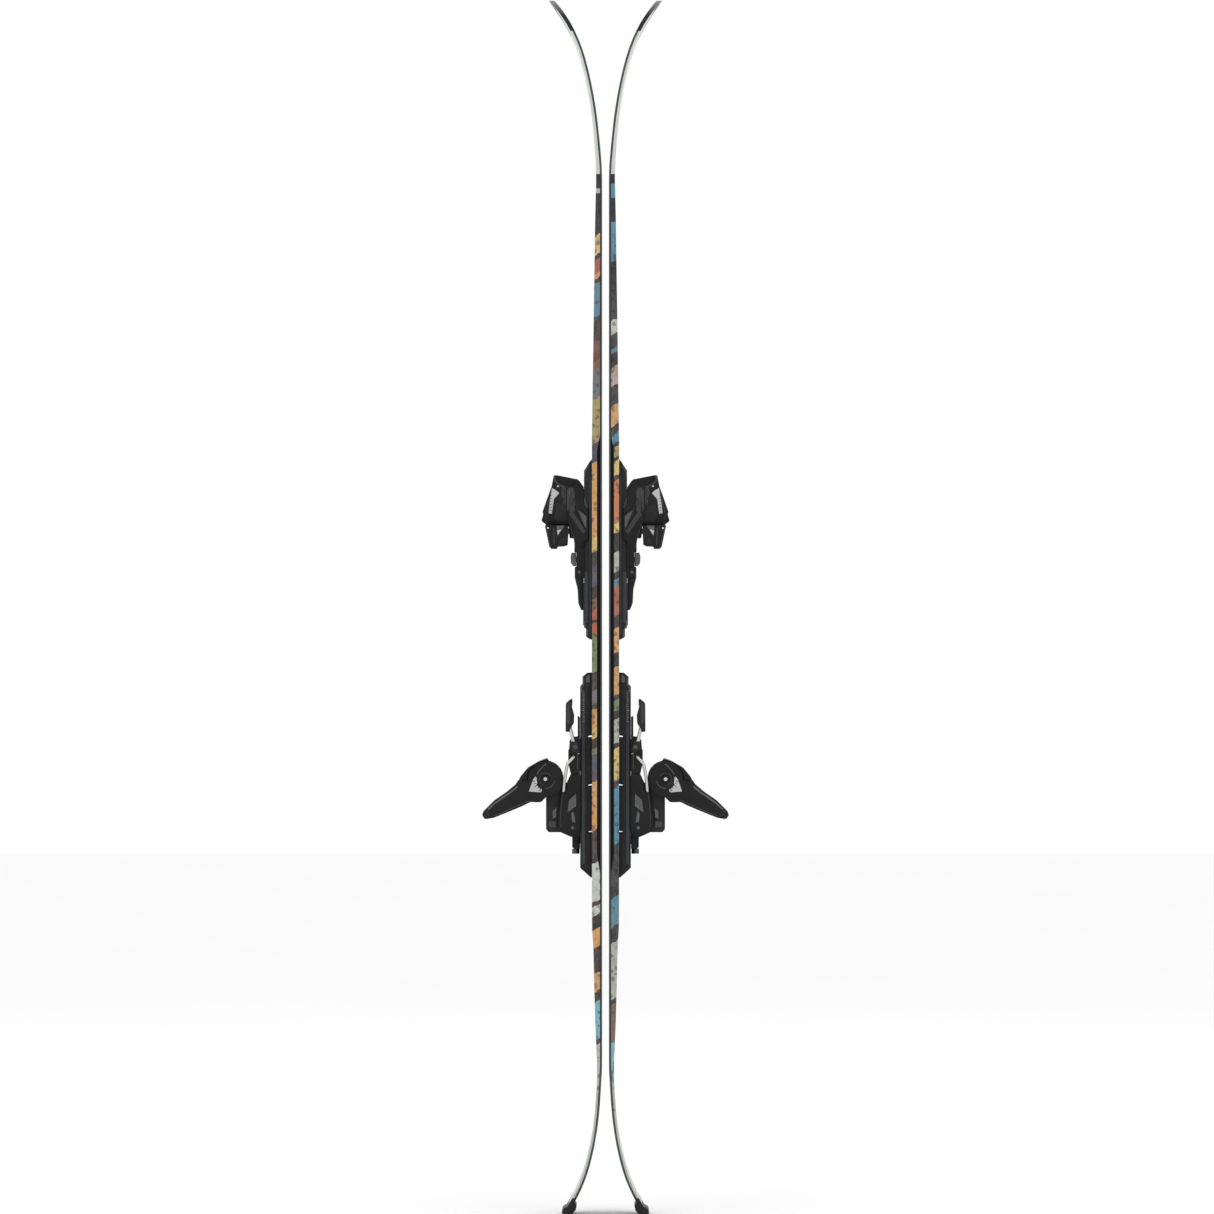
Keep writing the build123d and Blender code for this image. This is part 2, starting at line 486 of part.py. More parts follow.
release_coil = rod_z(562.2, 591.8, HEEL_SET_H, 7.6) - rod_z(560.0, 593.0, HEEL_SET_H, 4.2)
plunger = rod_z(592.0, 599.8, HEEL_SET_H, 7.8)
pressure_coil = rod_z(574.0, 592.3, PRESS_H, 5.2) - rod_z(570.0, 594.0, PRESS_H, 3.4)
brake_coils = [rod_y(BRAKE_PIN[0], BRAKE_PIN[1], a, b, 4.3) - rod_y(BRAKE_PIN[0], BRAKE_PIN[1], a - 1, b + 1, 2.8)
               for a, b in ((21.9, 27.2), (-27.2, -21.9))]

heel_axle = rod_y(HEAD[0], HEAD[1], -33.6, 33.6, 4.0)


def bent_wire(pts, radii, r):
    """Round wire through (z, h, v) points, with bent corners of the given radii."""
    p = [Vector(G + h, v, z) for z, h, v in pts]
    path = FilletPolyline(*p, radius=radii)
    start = Plane(origin=p[0], z_dir=(p[1] - p[0]).normalized())
    return sweep(start * Circle(r), path=path.wire()).solid()


BAIL = [(650.4, 39.6), (639.7, 49.2), (619.7, 52.8), (601.4, 54.4)]


def bail(s):
    """Bent side wire from the brake base back to the housing."""
    v = s * 36.4
    return bent_wire([(650.4, 39.6, s * 31.8)] + [(z, h, v) for z, h in BAIL] + [(601.4, 54.4, s * 29.0)],
                     [2.6, 3.0, 8.0, 2.6], 2.2)


bails = [bail(1), bail(-1)]
heel_housing = minus(heel_housing, bails)

# ---------------------------------------------------------------- brake base
base_side = [(679.5, 31.5), (678.0, 34.4, 1), (677.2, 40.6, 2), (673.2, 46.0, 2), (641.4, 48.0, 3), (626.4, 44.7, 1),
             (626.4, 31.5)]
brake_base = join(pair_y(base_side, 27.2, 34.0),
                  prism_y([(679.5, 31.5), (677.6, 32.6), (626.4, 32.6), (626.4, 31.5)], -27.5, 27.5),
                  prism_y([(626.4, 33.0), (626.4, 44.7, 1), (637.2, 46.9, 1), (637.2, 43.4, 1), (630.4, 41.0),
                           (630.4, 33.0)], -27.5, 27.5),
                  block(670.0, 676.0, 31.5, 34.6, -18.0, 18.0), block(674.0, 707.0, 33.0, 34.6, -18.0, 18.0))
brake_base = minus(brake_base, [rod_y(BRAKE_PIN[0], BRAKE_PIN[1], -40, 40, WIRE_R + FIT)] + bails)

# --------------------------------------------------------------- brake itself
ARM = [(664.0, 37.6), (674.0, 41.4), (691.4, 45.7), (712.0, 47.4)]


def arm(s):
    """Brake arm: the pivot shaft, bent forwards beside the ski."""
    return bent_wire([(ARM[0][0], ARM[0][1], s * 7.0)] + [(z, h, s * ARM_V) for z, h in ARM],
                     [3.4, 6.0, 8.0], WIRE_R)


brake_wires = [arm(1), arm(-1)]
pad_pts = [(732.0, 43.4, 1.5), (725.4, 51.3, 2), (685.8, 51.7, 1.5), (685.4, 46.9, 1.5), (692.4, 43.4, 1.5),
           (697.0, 40.3, 1.5), (707.7, 39.8, 1.5), (719.0, 43.0, 1), (728.0, 42.2, 1)]
hub_pts = [(656.4, 34.0, 3), (662.0, 32.4, 3), (672.6, 35.4, 2), (672.0, 44.0, 2), (667.0, 44.9, 2), (657.6, 42.6, 3)]


def pad(s):
    lo, hi = (47.6, 56.4) if s > 0 else (-56.4, -47.6)
    p = prism_y(pad_pts, lo, hi) & prism_x(
        [(735, s * 49.5, 3), (735, s * 53.5, 3), (722, s * 56.4, 5), (684, s * 56.4, 4), (684, s * 47.6, 2),
         (724, s * 47.6, 5)], 30, 60)
    return p


def hub(s):
    lo, hi = (46.4, 56.4) if s > 0 else (-56.4, -46.4)
    return prism_y(hub_pts, lo, hi)


brake_pads = [minus(x, brake_wires) for x in (pad(1), pad(-1), hub(1), hub(-1))]
PZ, PH = BRAKE_PIN
pedal = join(rod_y(PZ, PH, -21.5, 21.5, 4.6),
             prism_y([(PZ + 2.0, PH - 4.0), (PZ + 3.0, PH + 3.6), (PZ - 5.0, 48.0, 1), (PZ - 22.0, 48.0, 1.5),
                      (PZ - 22.0, 44.6, 1.5), (PZ - 9.5, 43.6, 2), (PZ - 3.6, PH - 3.4, 1)], -21.5, 21.5))
for k in range(4):
    pedal = pedal - block(PZ - 19.6 + 3.6 * k, PZ - 18.2 + 3.6 * k, 47.2, 49.0, -18.0, 18.0)
brake_pedal = minus(pedal, brake_wires)

# ------------------------------------------------------------------ heel cup
cup_cheek = join(rod_y(HEAD[0], HEAD[1], 20.5, 25.5, 21.0),
                 prism_y([(610.0, 100.0), (617.6, 104.0), (617.8, 117.6, 1), (621.0, 116.2, 3), (633.9, 105.5, 6), (643.7, 88.2, 6), (647.0, 78.2, 1),
                          (638.0, 71.5, 3), (634.6, 60.8, 2.5), (629.0, 58.4, 2.5), (612.0, 62.0)], 20.5, 25.5))
cup_shell_pts = [(644.2, 77.7), (647.5, 77.7, 1.2), (643.7, 88.2, 8), (633.9, 105.5, 10), (621.0, 116.2, 3),
                 (617.8, 117.8, 0.6), (617.6, 100.0), (640.0, 85.0)]
cup_shell = prism_y(cup_shell_pts, -38.0, 38.0) - rod_y(HEAD[0], HEAD[1], -40, 40, 26.4)
cup_shell = cup_shell & prism_z([(-38, 70), (38, 70), (38, 88, 6), (32.0, 119), (-32.0, 119), (-38, 88, 6)], 600, 660)
cup_shell = cup_shell & prism_x([(610, -40), (638, -40, 8), (648.5, -29, 10), (648.5, 29, 10), (638, 40, 8), (610, 40)],
                                60, 130)
treadle = rod_y(631.4, 62.2, -25.5, 25.5, 3.4)
heel_cup = join(cup_shell, cup_cheek, cup_cheek.mirror(Plane.XZ), treadle)
heel_cup = heel_cup - rod_y(HEAD[0], HEAD[1], -40, 40, 4.0 + FIT)

# ---------------------------------------------------------------- heel lever
arm_pts = [(616.8, 100.0), (616.6, 118.2), (615.6, 119.4, 1), (610.0, 123.0, 4), (599.1, 136.0, 14), (587.2, 153.4, 20),
           (572.0, 168.6, 6), (566.6, 170.3, 4), (561.0, 166.4, 4), (563.3, 153.4, 16), (574.1, 127.2, 16),
           (580.6, 112.0, 10), (586.0, 101.2, 3), (585.5, 92.4, 2), (586.0, 86.1, 1.5), (594.2, 78.0)]
web_pts = [(616.4, 112.6), (616.6, 118.2), (610.0, 123.0, 4), (599.1, 136.0, 14), (587.2, 153.4, 20), (572.0, 168.6, 6),
           (566.6, 170.3, 4), (561.0, 166.4, 4), (563.3, 153.4, 16), (574.1, 127.2, 8), (588.8, 114.2, 3), (601.0, 115.6, 2), (610.0, 112.6)]
heel_lever = join(pair_y(arm_pts, 26.0, 32.5), rod_y(HEAD[0], HEAD[1], 26.0, 32.5, 25.0),
                  rod_y(HEAD[0], HEAD[1], -32.5, -26.0, 25.0), prism_y(web_pts, -32.5, 32.5))
heel_lever = heel_lever & prism_z([(-33, 50), (33, 50), (33, 112, 30), (26.0, 140, 40), (18.5, 162, 10), (12.0, 171, 6),
                                   (-12.0, 171, 6), (-18.5, 162, 10), (-26.0, 140, 40), (-33, 112, 30)], 540, 660)
heel_lever = heel_lever - rod_y(HEAD[0], HEAD[1], -40, 40, 4.0 + FIT)

# --------------------------------------------------------------------- write
nodes = {
    "ski_base": [ski_base], "steel_edges": [steel_edges], "wood_core": [wood_core], "sidewalls": [sidewalls],
    "top_cap": [top_cap], "end_guards": [tip_guard, tail_guard], "toe_track": [toe_track],
    "heel_track": [heel_track], "mount_screws": screws,
    "toe_body": [toe_body], "toe_pins": toe_pins, "toe_spring": [toe_coil, toe_piston],
    "toe_wing_a": [toe_wing_a], "toe_wing_b": [toe_wing_b], "toe_setting_screw": [toe_setting_screw],
    "afd_plate": [afd_plate], "toe_lock_lever": [toe_lock_lever],
    "heel_carriage": [heel_carriage], "pressure_screw": [pressure_screw],
    "heel_housing": [heel_housing], "heel_tower": [heel_tower], "heel_axle_and_bail": [heel_axle] + bails,
    "heel_springs": [release_coil, plunger, pressure_coil] + brake_coils, "brake_base": [brake_base],
    "heel_cup": [heel_cup], "heel_lever": [heel_lever], "heel_setting_screw": [heel_setting_screw],
    "brake_wires": brake_wires, "brake_pads": brake_pads, "brake_pedal": [brake_pedal],
}
for name, shapes in nodes.items():
    solids = []
    for s in shapes:
        solids += pieces(s)
    right = Compound(solids)
    left = right.rotate(Axis.Z, 180)
    export_step(right, "parts/right_" + name + ".step")
    export_step(left, "parts/left_" + name + ".step")
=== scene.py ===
import bmesh
import bpy
import json
import math
from mathutils import Vector, Matrix


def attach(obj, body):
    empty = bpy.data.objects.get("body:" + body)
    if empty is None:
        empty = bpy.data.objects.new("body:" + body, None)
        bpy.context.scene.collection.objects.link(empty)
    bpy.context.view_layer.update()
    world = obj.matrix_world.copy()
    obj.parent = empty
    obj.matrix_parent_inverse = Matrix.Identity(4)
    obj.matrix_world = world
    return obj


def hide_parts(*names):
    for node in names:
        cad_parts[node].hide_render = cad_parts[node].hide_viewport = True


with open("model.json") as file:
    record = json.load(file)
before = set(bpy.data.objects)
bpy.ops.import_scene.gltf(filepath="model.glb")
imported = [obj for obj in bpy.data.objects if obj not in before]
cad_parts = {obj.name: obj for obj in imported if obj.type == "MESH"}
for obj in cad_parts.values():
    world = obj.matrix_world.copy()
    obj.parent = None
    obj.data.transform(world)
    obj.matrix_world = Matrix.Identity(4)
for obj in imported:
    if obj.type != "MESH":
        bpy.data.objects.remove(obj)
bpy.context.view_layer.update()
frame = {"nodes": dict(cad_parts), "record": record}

SIDES = ("left", "right")
G = 4.8  # half the gap between the running bases, mm


def W(side, z, h, v):
    """A point of one ski, in mm: z up, h out from its base plane, v lateral. v < 0 faces the camera on both skis."""
    if side == "right":
        return Vector(((G + h) / 1000, v / 1000, z / 1000))
    return Vector((-(G + h) / 1000, v / 1000, z / 1000))


def bod(side, name):
    return side + "_" + name


# ------------------------------------------------------------------ materials
def new_mat(name):
    m = bpy.data.materials.new(name)
    m.use_nodes = True
    nt = m.node_tree
    return m, nt, nt.nodes["Principled BSDF"]


def N(nt, kind, **kw):
    n = nt.nodes.new(kind)
    for k, v in kw.items():
        if k == "inputs":
            for a, b in v.items():
                n.inputs[a].default_value = b
        else:
            setattr(n, k, v)
    return n


def coords(nt, scale=(1, 1, 1)):
    tc = N(nt, "ShaderNodeTexCoord")
    mp = N(nt, "ShaderNodeMapping")
    mp.inputs["Scale"].default_value = scale
    nt.links.new(tc.outputs["Object"], mp.inputs["Vector"])
    return mp.outputs["Vector"]


def noise(nt, vec, scale, detail=3.0, rough=0.55):
    n = N(nt, "ShaderNodeTexNoise", inputs={"Scale": scale, "Detail": detail, "Roughness": rough})
    nt.links.new(vec, n.inputs["Vector"])
    return n.outputs["Fac"]


def mapr(nt, val, a, b, c, d):
    n = N(nt, "ShaderNodeMapRange", inputs={"From Min": a, "From Max": b, "To Min": c, "To Max": d})
    nt.links.new(val, n.inputs["Value"])
    return n.outputs["Result"]


def math_node(nt, op, a, b=None, c=None):
    n = N(nt, "ShaderNodeMath", operation=op)
    for i, x in enumerate((a, b, c)):
        if x is None:
            continue
        if isinstance(x, (int, float)):
            n.inputs[i].default_value = x
        else:
            nt.links.new(x, n.inputs[i])
    return n.outputs[0]


def mixc(nt, fac, a, b, blend="MIX"):
    n = N(nt, "ShaderNodeMix", data_type="RGBA", blend_type=blend)
    for sock, x in (("Factor", fac), ("A", a), ("B", b)):
        s = [i for i in n.inputs if i.name == sock and (i.type == "RGBA" or sock == "Factor")][0]
        if isinstance(x, (int, float)):
            s.default_value = x
        elif isinstance(x, tuple):
            s.default_value = x + (1.0,) if len(x) == 3 else x
        else:
            nt.links.new(x, s)
    return [o for o in n.outputs if o.type == "RGBA"][0]


def bump(nt, bsdf, height, strength, dist):
    b = N(nt, "ShaderNodeBump", inputs={"Strength": strength, "Distance": dist})
    nt.links.new(height, b.inputs["Height"])
    nt.links.new(b.outputs["Normal"], bsdf.inputs["Normal"])
    return b


def plastic(name, col, light, rough=0.45, grain=0.00025, scale=900.0, spec=0.5):
    """Moulded plastic: fine spark grain, faint mottling, slightly lighter rubbed patches."""
    m, nt, b = new_mat(name)
    v = coords(nt)
    big = noise(nt, v, 38.0, 3.0)
    mid = noise(nt, v, 210.0, 4.0)
    fine = noise(nt, v, scale * 2.2, 3.0, 0.7)
    fac = mapr(nt, big, 0.35, 0.72, 0.0, 0.55)
    c = mixc(nt, fac, col, light)
    fac2 = mapr(nt, mid, 0.45, 0.75, 0.0, 0.22)
    c = mixc(nt, fac2, c, light)
    nt.links.new(c, b.inputs["Base Color"])
    nt.links.new(mapr(nt, mid, 0.3, 0.7, rough - 0.05, rough + 0.08), b.inputs["Roughness"])
    b.inputs["Specular IOR Level"].default_value = spec
    bump(nt, b, fine, 0.35, grain)
    return m


def metal(name, col, rough=0.3, axis=(6, 6, 400), dark=0.6, strength=0.15):
    """Drawn or ground steel with fine lines square to the given scale axis."""
    m, nt, b = new_mat(name)
    v = coords(nt, axis)
    lines = noise(nt, v, 3.0, 4.0, 0.6)
    big = noise(nt, coords(nt), 60.0, 2.0)
    c = mixc(nt, mapr(nt, lines, 0.3, 0.7, 0.0, 1.0), tuple(x * dark for x in col), col)
    c = mixc(nt, mapr(nt, big, 0.4, 0.7, 0.0, 0.3), c, tuple(min(1, x * 1.12) for x in col))
    nt.links.new(c, b.inputs["Base Color"])
    b.inputs["Metallic"].default_value = 1.0
    nt.links.new(mapr(nt, lines, 0.3, 0.7, rough, rough + 0.14), b.inputs["Roughness"])
    bump(nt, b, lines, strength, 0.0001)
    return m


def srgb(r, g, b):
    return tuple(((c / 255 + 0.055) / 1.055) ** 2.4 if c > 10 else c / 255 / 12.92 for c in (r, g, b))


M = {}
M["black"] = plastic("binding_black", (0.004, 0.004, 0.0042), (0.010, 0.010, 0.0104), 0.42, spec=0.22)
M["black2"] = plastic("binding_black_soft", (0.008, 0.008, 0.0085), (0.017, 0.017, 0.0175), 0.48, spec=0.26)
M["panel"] = plastic("panel_slate", (0.022, 0.026, 0.031), (0.04, 0.045, 0.052), 0.4, spec=0.35)
# Grey plastic for the grey parts; also laid on black parts as painted highlights and lit facets.
M["grey"] = plastic("binding_grey", (0.075, 0.075, 0.077), (0.115, 0.115, 0.117), 0.46, spec=0.35)
# Lighter grey used as painted highlights on rims, ridges, ribs, seam lines and lit faces of the black plastic.
M["rim"] = plastic("rim_highlight_grey", (0.028, 0.028, 0.029), (0.055, 0.055, 0.056), 0.4, spec=0.4)
# A lighter copy of the black plastic: painted light on facets and ridges that face the lamps.
M["facet"] = plastic("lit_facet_black", (0.022, 0.022, 0.023), (0.040, 0.040, 0.041), 0.42, spec=0.35)
M["light"] = plastic("binding_light_grey", (0.40, 0.40, 0.40), (0.50, 0.50, 0.50), 0.42, spec=0.4)
M["white"] = plastic("mark_white", (0.70, 0.70, 0.69), (0.80, 0.80, 0.79), 0.4, spec=0.4)
M["tick"] = plastic("tick_dark", (0.02, 0.02, 0.021), (0.04, 0.04, 0.041), 0.5, spec=0.3)
M["pad"] = plastic("pad_grey", (0.028, 0.028, 0.029), (0.05, 0.05, 0.051), 0.58, spec=0.3)
M["wire"] = metal("bright_wire", (0.66, 0.65, 0.63), 0.22, (400, 400, 9))
M["screw"] = metal("screw_steel", (0.5, 0.5, 0.51), 0.3, (60, 60, 60))
M["screw_dark"] = metal("screw_oxide", (0.10, 0.10, 0.105), 0.38, (60, 60, 60))
M["edge"] = metal("edge_steel", (0.11, 0.113, 0.12), 0.34, (300, 300, 4))
M["spring"] = metal("spring_steel", (0.35, 0.35, 0.36), 0.35, (60, 60, 300))
M["wood"] = plastic("core_wood", (0.42, 0.27, 0.14), (0.55, 0.38, 0.2), 0.6)


def streaked(name, col, light, axis, rough, spec, dist=0.00008, fade=None):
    """Plastic with fine marks along one direction, such as a ground base or a scuffed side wall."""
    m, nt, b = new_mat(name)
    lines = noise(nt, coords(nt, axis), 4.0, 5.0, 0.65)
    big = noise(nt, coords(nt), 24.0, 3.0)
    c = mixc(nt, mapr(nt, lines, 0.42, 0.75, 0.0, 0.8), col, light)
    c = mixc(nt, mapr(nt, big, 0.4, 0.75, 0.0, 0.3), c, light)
    if fade:
        z = N(nt, "ShaderNodeSeparateXYZ")
        nt.links.new(coords(nt), z.inputs[0])
        c = mixc(nt, mapr(nt, z.outputs["Z"], fade[0], fade[1], 0.0, 1.0), c, fade[2])
    nt.links.new(c, b.inputs["Base Color"])
    nt.links.new(mapr(nt, lines, 0.3, 0.7, rough, rough + 0.15), b.inputs["Roughness"])
    b.inputs["Specular IOR Level"].default_value = spec
    bump(nt, b, lines, 0.3, dist)
    return m


M["guard"] = streaked("guard_black", (0.006, 0.006, 0.007), (0.018, 0.018, 0.019), (90, 90, 20), 0.42, 0.3,
                      fade=(1.698, 1.724, srgb(128, 129, 128)))
M["wall"] = streaked("wall_abs", (0.002, 0.002, 0.0022), (0.007, 0.007, 0.0075), (200, 200, 5), 0.38, 0.1)
M["base"] = streaked("base_ptex", (0.004, 0.004, 0.0045), (0.014, 0.014, 0.0145), (200, 600, 3), 0.32, 0.2)

# Top sheet: own generic colour blocks from the tip down, each (start, end, colour), in steps of 1.42 mm
MINT, DARK, TEAL = srgb(190, 199, 188), srgb(24, 25, 28), srgb(72, 128, 148)
ORANGE, YELLOW, RED = srgb(200, 150, 92), srgb(209, 181, 112), srgb(163, 88, 64)
GREEN, SLATE, TAN, PALE = srgb(106, 124, 88), srgb(91, 101, 113), srgb(159, 144, 91), srgb(170, 172, 162)
NAVY, BROWN, WINE, CYAN = srgb(46, 56, 82), srgb(116, 88, 66), srgb(104, 52, 48), srgb(110, 176, 190)
BLOCKS = {
    "left": [(0, 178, MINT), (178, 191, DARK), (191, 196, PALE), (196, 200, DARK), (200, 204, MINT), (204, 240, DARK),
             (240, 257, YELLOW), (257, 264, DARK), (264, 277, RED), (277, 283, ORANGE), (283, 289, DARK),
             (289, 319, TEAL), (319, 325, NAVY), (325, 343, DARK), (343, 366, WINE), (366, 375, BROWN),
             (375, 404, SLATE), (404, 443, TAN), (443, 465, NAVY), (465, 540, ORANGE), (540, 556, YELLOW),
             (556, 570, DARK), (570, 590, NAVY), (590, 603, DARK), (603, 608, BROWN), (608, 622, RED), (622, 626, DARK), (626, 633, RED),
             (633, 673, GREEN), (673, 692, DARK), (692, 706, SLATE), (706, 713, DARK), (713, 731, ORANGE),
             (731, 738, YELLOW), (738, 748, DARK), (748, 754, GREEN), (754, 784, NAVY), (784, 831, ORANGE),
             (831, 865, DARK), (865, 904, MINT), (904, 907, DARK), (907, 917, MINT), (917, 928, DARK),
             (928, 950, ORANGE), (950, 972, DARK), (972, 992, ORANGE), (992, 1000, DARK), (1000, 1038, CYAN),
             (1038, 1045, DARK), (1045, 1230, srgb(168, 178, 167))],
    "right": [(0, 177, MINT), (177, 190, DARK), (190, 204, TEAL), (204, 228, DARK), (228, 265, TEAL),
              (265, 321, DARK), (321, 334, MINT), (334, 349, DARK), (349, 356, TEAL), (356, 369, DARK),
              (369, 387, srgb(176, 150, 142)), (387, 409, DARK), (409, 426, ORANGE), (426, 434, DARK),
              (434, 443, TEAL), (443, 450, DARK), (450, 461, TAN), (461, 466, DARK), (466, 476, YELLOW),
              (476, 483, DARK), (483, 525, srgb(190, 112, 70)), (525, 537, YELLOW), (537, 556, DARK),
              (556, 572, PALE), (572, 578, DARK), (578, 588, TEAL), (588, 595, RED), (595, 598, DARK),
              (598, 616, RED), (616, 631, DARK), (631, 654, ORANGE), (654, 668, DARK), (668, 698, ORANGE),
              (698, 703, DARK), (703, 712, GREEN), (712, 719, DARK), (719, 743, PALE), (743, 748, DARK),
              (748, 782, YELLOW), (782, 787, DARK), (787, 843, TEAL), (843, 898, DARK), (898, 927, TEAL),
              (927, 940, DARK), (940, 996, PALE), (996, 1003, DARK), (1003, 1038, BROWN), (1038, 1080, CYAN),
              (1080, 1230, srgb(168, 178, 167))],
}
TOP_LEN = 1.73


def constant_ramp(nt, fac, stops):
    r = N(nt, "ShaderNodeValToRGB")
    r.color_ramp.interpolation = "CONSTANT"
    el = r.color_ramp.elements
    el[0].position, el[0].color = max(0.0, stops[0][0]), stops[0][1] + (1,)
    el[1].position, el[1].color = stops[1][0], stops[1][1] + (1,)
    for p, c in stops[2:]:
        e = el.new(p)
        e.color = c + (1,)
    nt.links.new(fac, r.inputs["Fac"])
    return r.outputs["Color"]


def top_sheet(side):
    m, nt, b = new_mat("top_sheet_" + side)
    v = coords(nt)
    xyz = N(nt, "ShaderNodeSeparateXYZ")
    nt.links.new(v, xyz.inputs[0])
    y, z = xyz.outputs["Y"], xyz.outputs["Z"]
    slant = math_node(nt, "MULTIPLY", math_node(nt, "ADD", y, 0.045), 0.42 if side == "left" else -0.38)
    geo = N(nt, "ShaderNodeNewGeometry")
    nor = N(nt, "ShaderNodeSeparateXYZ")
    nt.links.new(geo.outputs["Normal"], nor.inputs[0])
    flat = math_node(nt, "GREATER_THAN", math_node(nt, "ABSOLUTE", nor.outputs["X"]), 0.7)
    cell = N(nt, "ShaderNodeTexVoronoi", feature="F1", inputs={"Scale": 1.0, "Randomness": 0.75})
    mp = N(nt, "ShaderNodeMapping")
    mp.inputs["Scale"].default_value = (0.0, 34.0, 15.0)
    mp.inputs["Rotation"].default_value = (0.5, 0, 0)
    nt.links.new(v, mp.inputs["Vector"])
    nt.links.new(mp.outputs["Vector"], cell.inputs["Vector"])
    cr = N(nt, "ShaderNodeSeparateColor")
    nt.links.new(cell.outputs["Color"], cr.inputs[0])
    jump = math_node(nt, "MULTIPLY", math_node(nt, "SUBTRACT", cr.outputs[0], 0.5), 0.17)
    shift = math_node(nt, "MULTIPLY", math_node(nt, "ADD", slant, jump), flat)
    wob = math_node(nt, "MULTIPLY", math_node(nt, "SUBTRACT", noise(nt, v, 75.0, 2.0), 0.5), 0.012)
    lean = math_node(nt, "MULTIPLY", math_node(nt, "SUBTRACT", math_node(nt, "ABSOLUTE", xyz.outputs["X"]), 0.0155),
                     0.5 if side == "left" else -0.6)
    lean = math_node(nt, "MULTIPLY", lean, math_node(nt, "SUBTRACT", 1.0, flat))
    near = math_node(nt, "LESS_THAN", math_node(nt, "ABSOLUTE", math_node(nt, "SUBTRACT", z, 0.77)), 0.62)
    loose = math_node(nt, "MULTIPLY", math_node(nt, "ADD", wob, lean), near)
    pos = math_node(nt, "DIVIDE", math_node(nt, "ADD", math_node(nt, "ADD", z, shift), loose), TOP_LEN)
    stops = sorted(((max(0.0, (1213.5 - y1) * 0.00142) / TOP_LEN), c) for y0, y1, c in BLOCKS[side])
    half = len(stops) // 2
    low = constant_ramp(nt, pos, stops[:half])
    high = constant_ramp(nt, pos, stops[half:])
    c = mixc(nt, math_node(nt, "GREATER_THAN", pos, stops[half][0]), low, high)
    chip = N(nt, "ShaderNodeTexVoronoi", feature="F1", inputs={"Scale": 1.0, "Randomness": 1.0})
    cm = N(nt, "ShaderNodeMapping")
    cm.inputs["Scale"].default_value = (220.0, 90.0, 190.0)
    cm.inputs["Rotation"].default_value = (0.3, 0.5, 0)
    nt.links.new(v, cm.inputs["Vector"])
    nt.links.new(cm.outputs["Vector"], chip.inputs["Vector"])
    cc = N(nt, "ShaderNodeSeparateColor")
    nt.links.new(chip.outputs["Color"], cc.inputs[0])
    inkfac = math_node(nt, "MULTIPLY", mapr(nt, cc.outputs[1], 0.84, 0.87, 0.0, 0.6), near)
    c = mixc(nt, inkfac, c, srgb(38, 36, 34))
    tone = math_node(nt, "MULTIPLY", mapr(nt, cc.outputs[2], 0.0, 1.0, 0.0, 0.34), near)
    c = mixc(nt, tone, c, srgb(120, 84, 60) if side == "left" else srgb(96, 88, 84))
    big = noise(nt, v, 30.0, 3.0)
    c = mixc(nt, mapr(nt, big, 0.4, 0.75, 0.0, 0.12), c, (0.4, 0.4, 0.38))
    scuff = noise(nt, coords(nt, (160, 160, 8)), 4.0, 5.0, 0.7)
    c = mixc(nt, mapr(nt, scuff, 0.62, 0.8, 0.0, 0.3), c, (0.55, 0.56, 0.55))
    nt.links.new(c, b.inputs["Base Color"])
    nt.links.new(mapr(nt, scuff, 0.35, 0.75, 0.26, 0.42), b.inputs["Roughness"])
    b.inputs["Specular IOR Level"].default_value = 0.35
    b.inputs["Coat Weight"].default_value = 0.15
    b.inputs["Coat Roughness"].default_value = 0.15
    bump(nt, b, scuff, 0.2, 0.00005)
    return m


M["top_left"] = top_sheet("left")
M["top_right"] = top_sheet("right")


# ------------------------------------------------------------ mesh utilities
def smooth(me, angle=32.0):
    for p in me.polygons:
        p.use_smooth = True
    me.set_sharp_from_angle(angle=math.radians(angle))


def finish_obj(ob, mat, body, reps=(), slot=None):
    if mat is not None:
        ob.data.materials.clear()
        ob.data.materials.append(mat)
    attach(ob, body)
    if reps:
        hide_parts(*reps)
    return ob


def link(name, me):
    ob = bpy.data.objects.new(name, me)
    bpy.context.scene.collection.objects.link(ob)
    return ob


def apply_mods(ob):
    dg = bpy.context.evaluated_depsgraph_get()
    me = bpy.data.meshes.new_from_object(ob.evaluated_get(dg))
    ob.modifiers.clear()
    old = ob.data
    ob.data = me
    bpy.data.meshes.remove(old)


def carry(node, mat, bevel=0.5, segs=2, angle=28.0, name=None):
    """A cleaned, edge-rounded copy of a CAD node that stands in its place."""
    src = frame["nodes"][node]
    me = src.data.copy()
    bm = bmesh.new()
    bm.from_mesh(me)
    bmesh.ops.remove_doubles(bm, verts=bm.verts, dist=2e-6)
    bmesh.ops.dissolve_limit(bm, angle_limit=math.radians(0.6), verts=bm.verts, edges=bm.edges,
                             delimit={"NORMAL"})
    bm.to_mesh(me)
    bm.free()
    for a in list(me.attributes):
        if a.name in ("custom_normal", "sharp_edge", "sharp_face"):
            me.attributes.remove(a)
    ob = link(name or (node + "_moulded"), me)
    ob.matrix_world = src.matrix_world.copy()
    if bevel:
        b = ob.modifiers.new("round", "BEVEL")
        b.width = bevel / 1000
        b.segments = segs
        b.limit_method = "ANGLE"
        b.angle_limit = math.radians(angle)
        b.miter_outer = "MITER_ARC"
        b.use_clamp_overlap = True
        apply_mods(ob)
    smooth(ob.data)
    body = [b for b, ns in frame["record"]["behaviour"]["bodies"].items() if node in ns][0]
    return finish_obj(ob, mat, body, (node,))


def paint(node, mat):
    ob = frame["nodes"][node]
    ob.data.materials.clear()
    ob.data.materials.append(mat)


# --------------------------------------------------------------- camera, room
cam_data = bpy.data.cameras.new("view")
cam_data.lens = 200.0
cam_data.sensor_width = 36.0
DIST = 1.7239 * 200.0 / 36.0
cam = bpy.data.objects.new("view", cam_data)
bpy.context.scene.collection.objects.link(cam)
cam.location = (0.0021, -DIST, 0.862)
cam.rotation_euler = (math.radians(90), 0, 0)
cam_data.clip_end = 100
bpy.context.scene.camera = cam

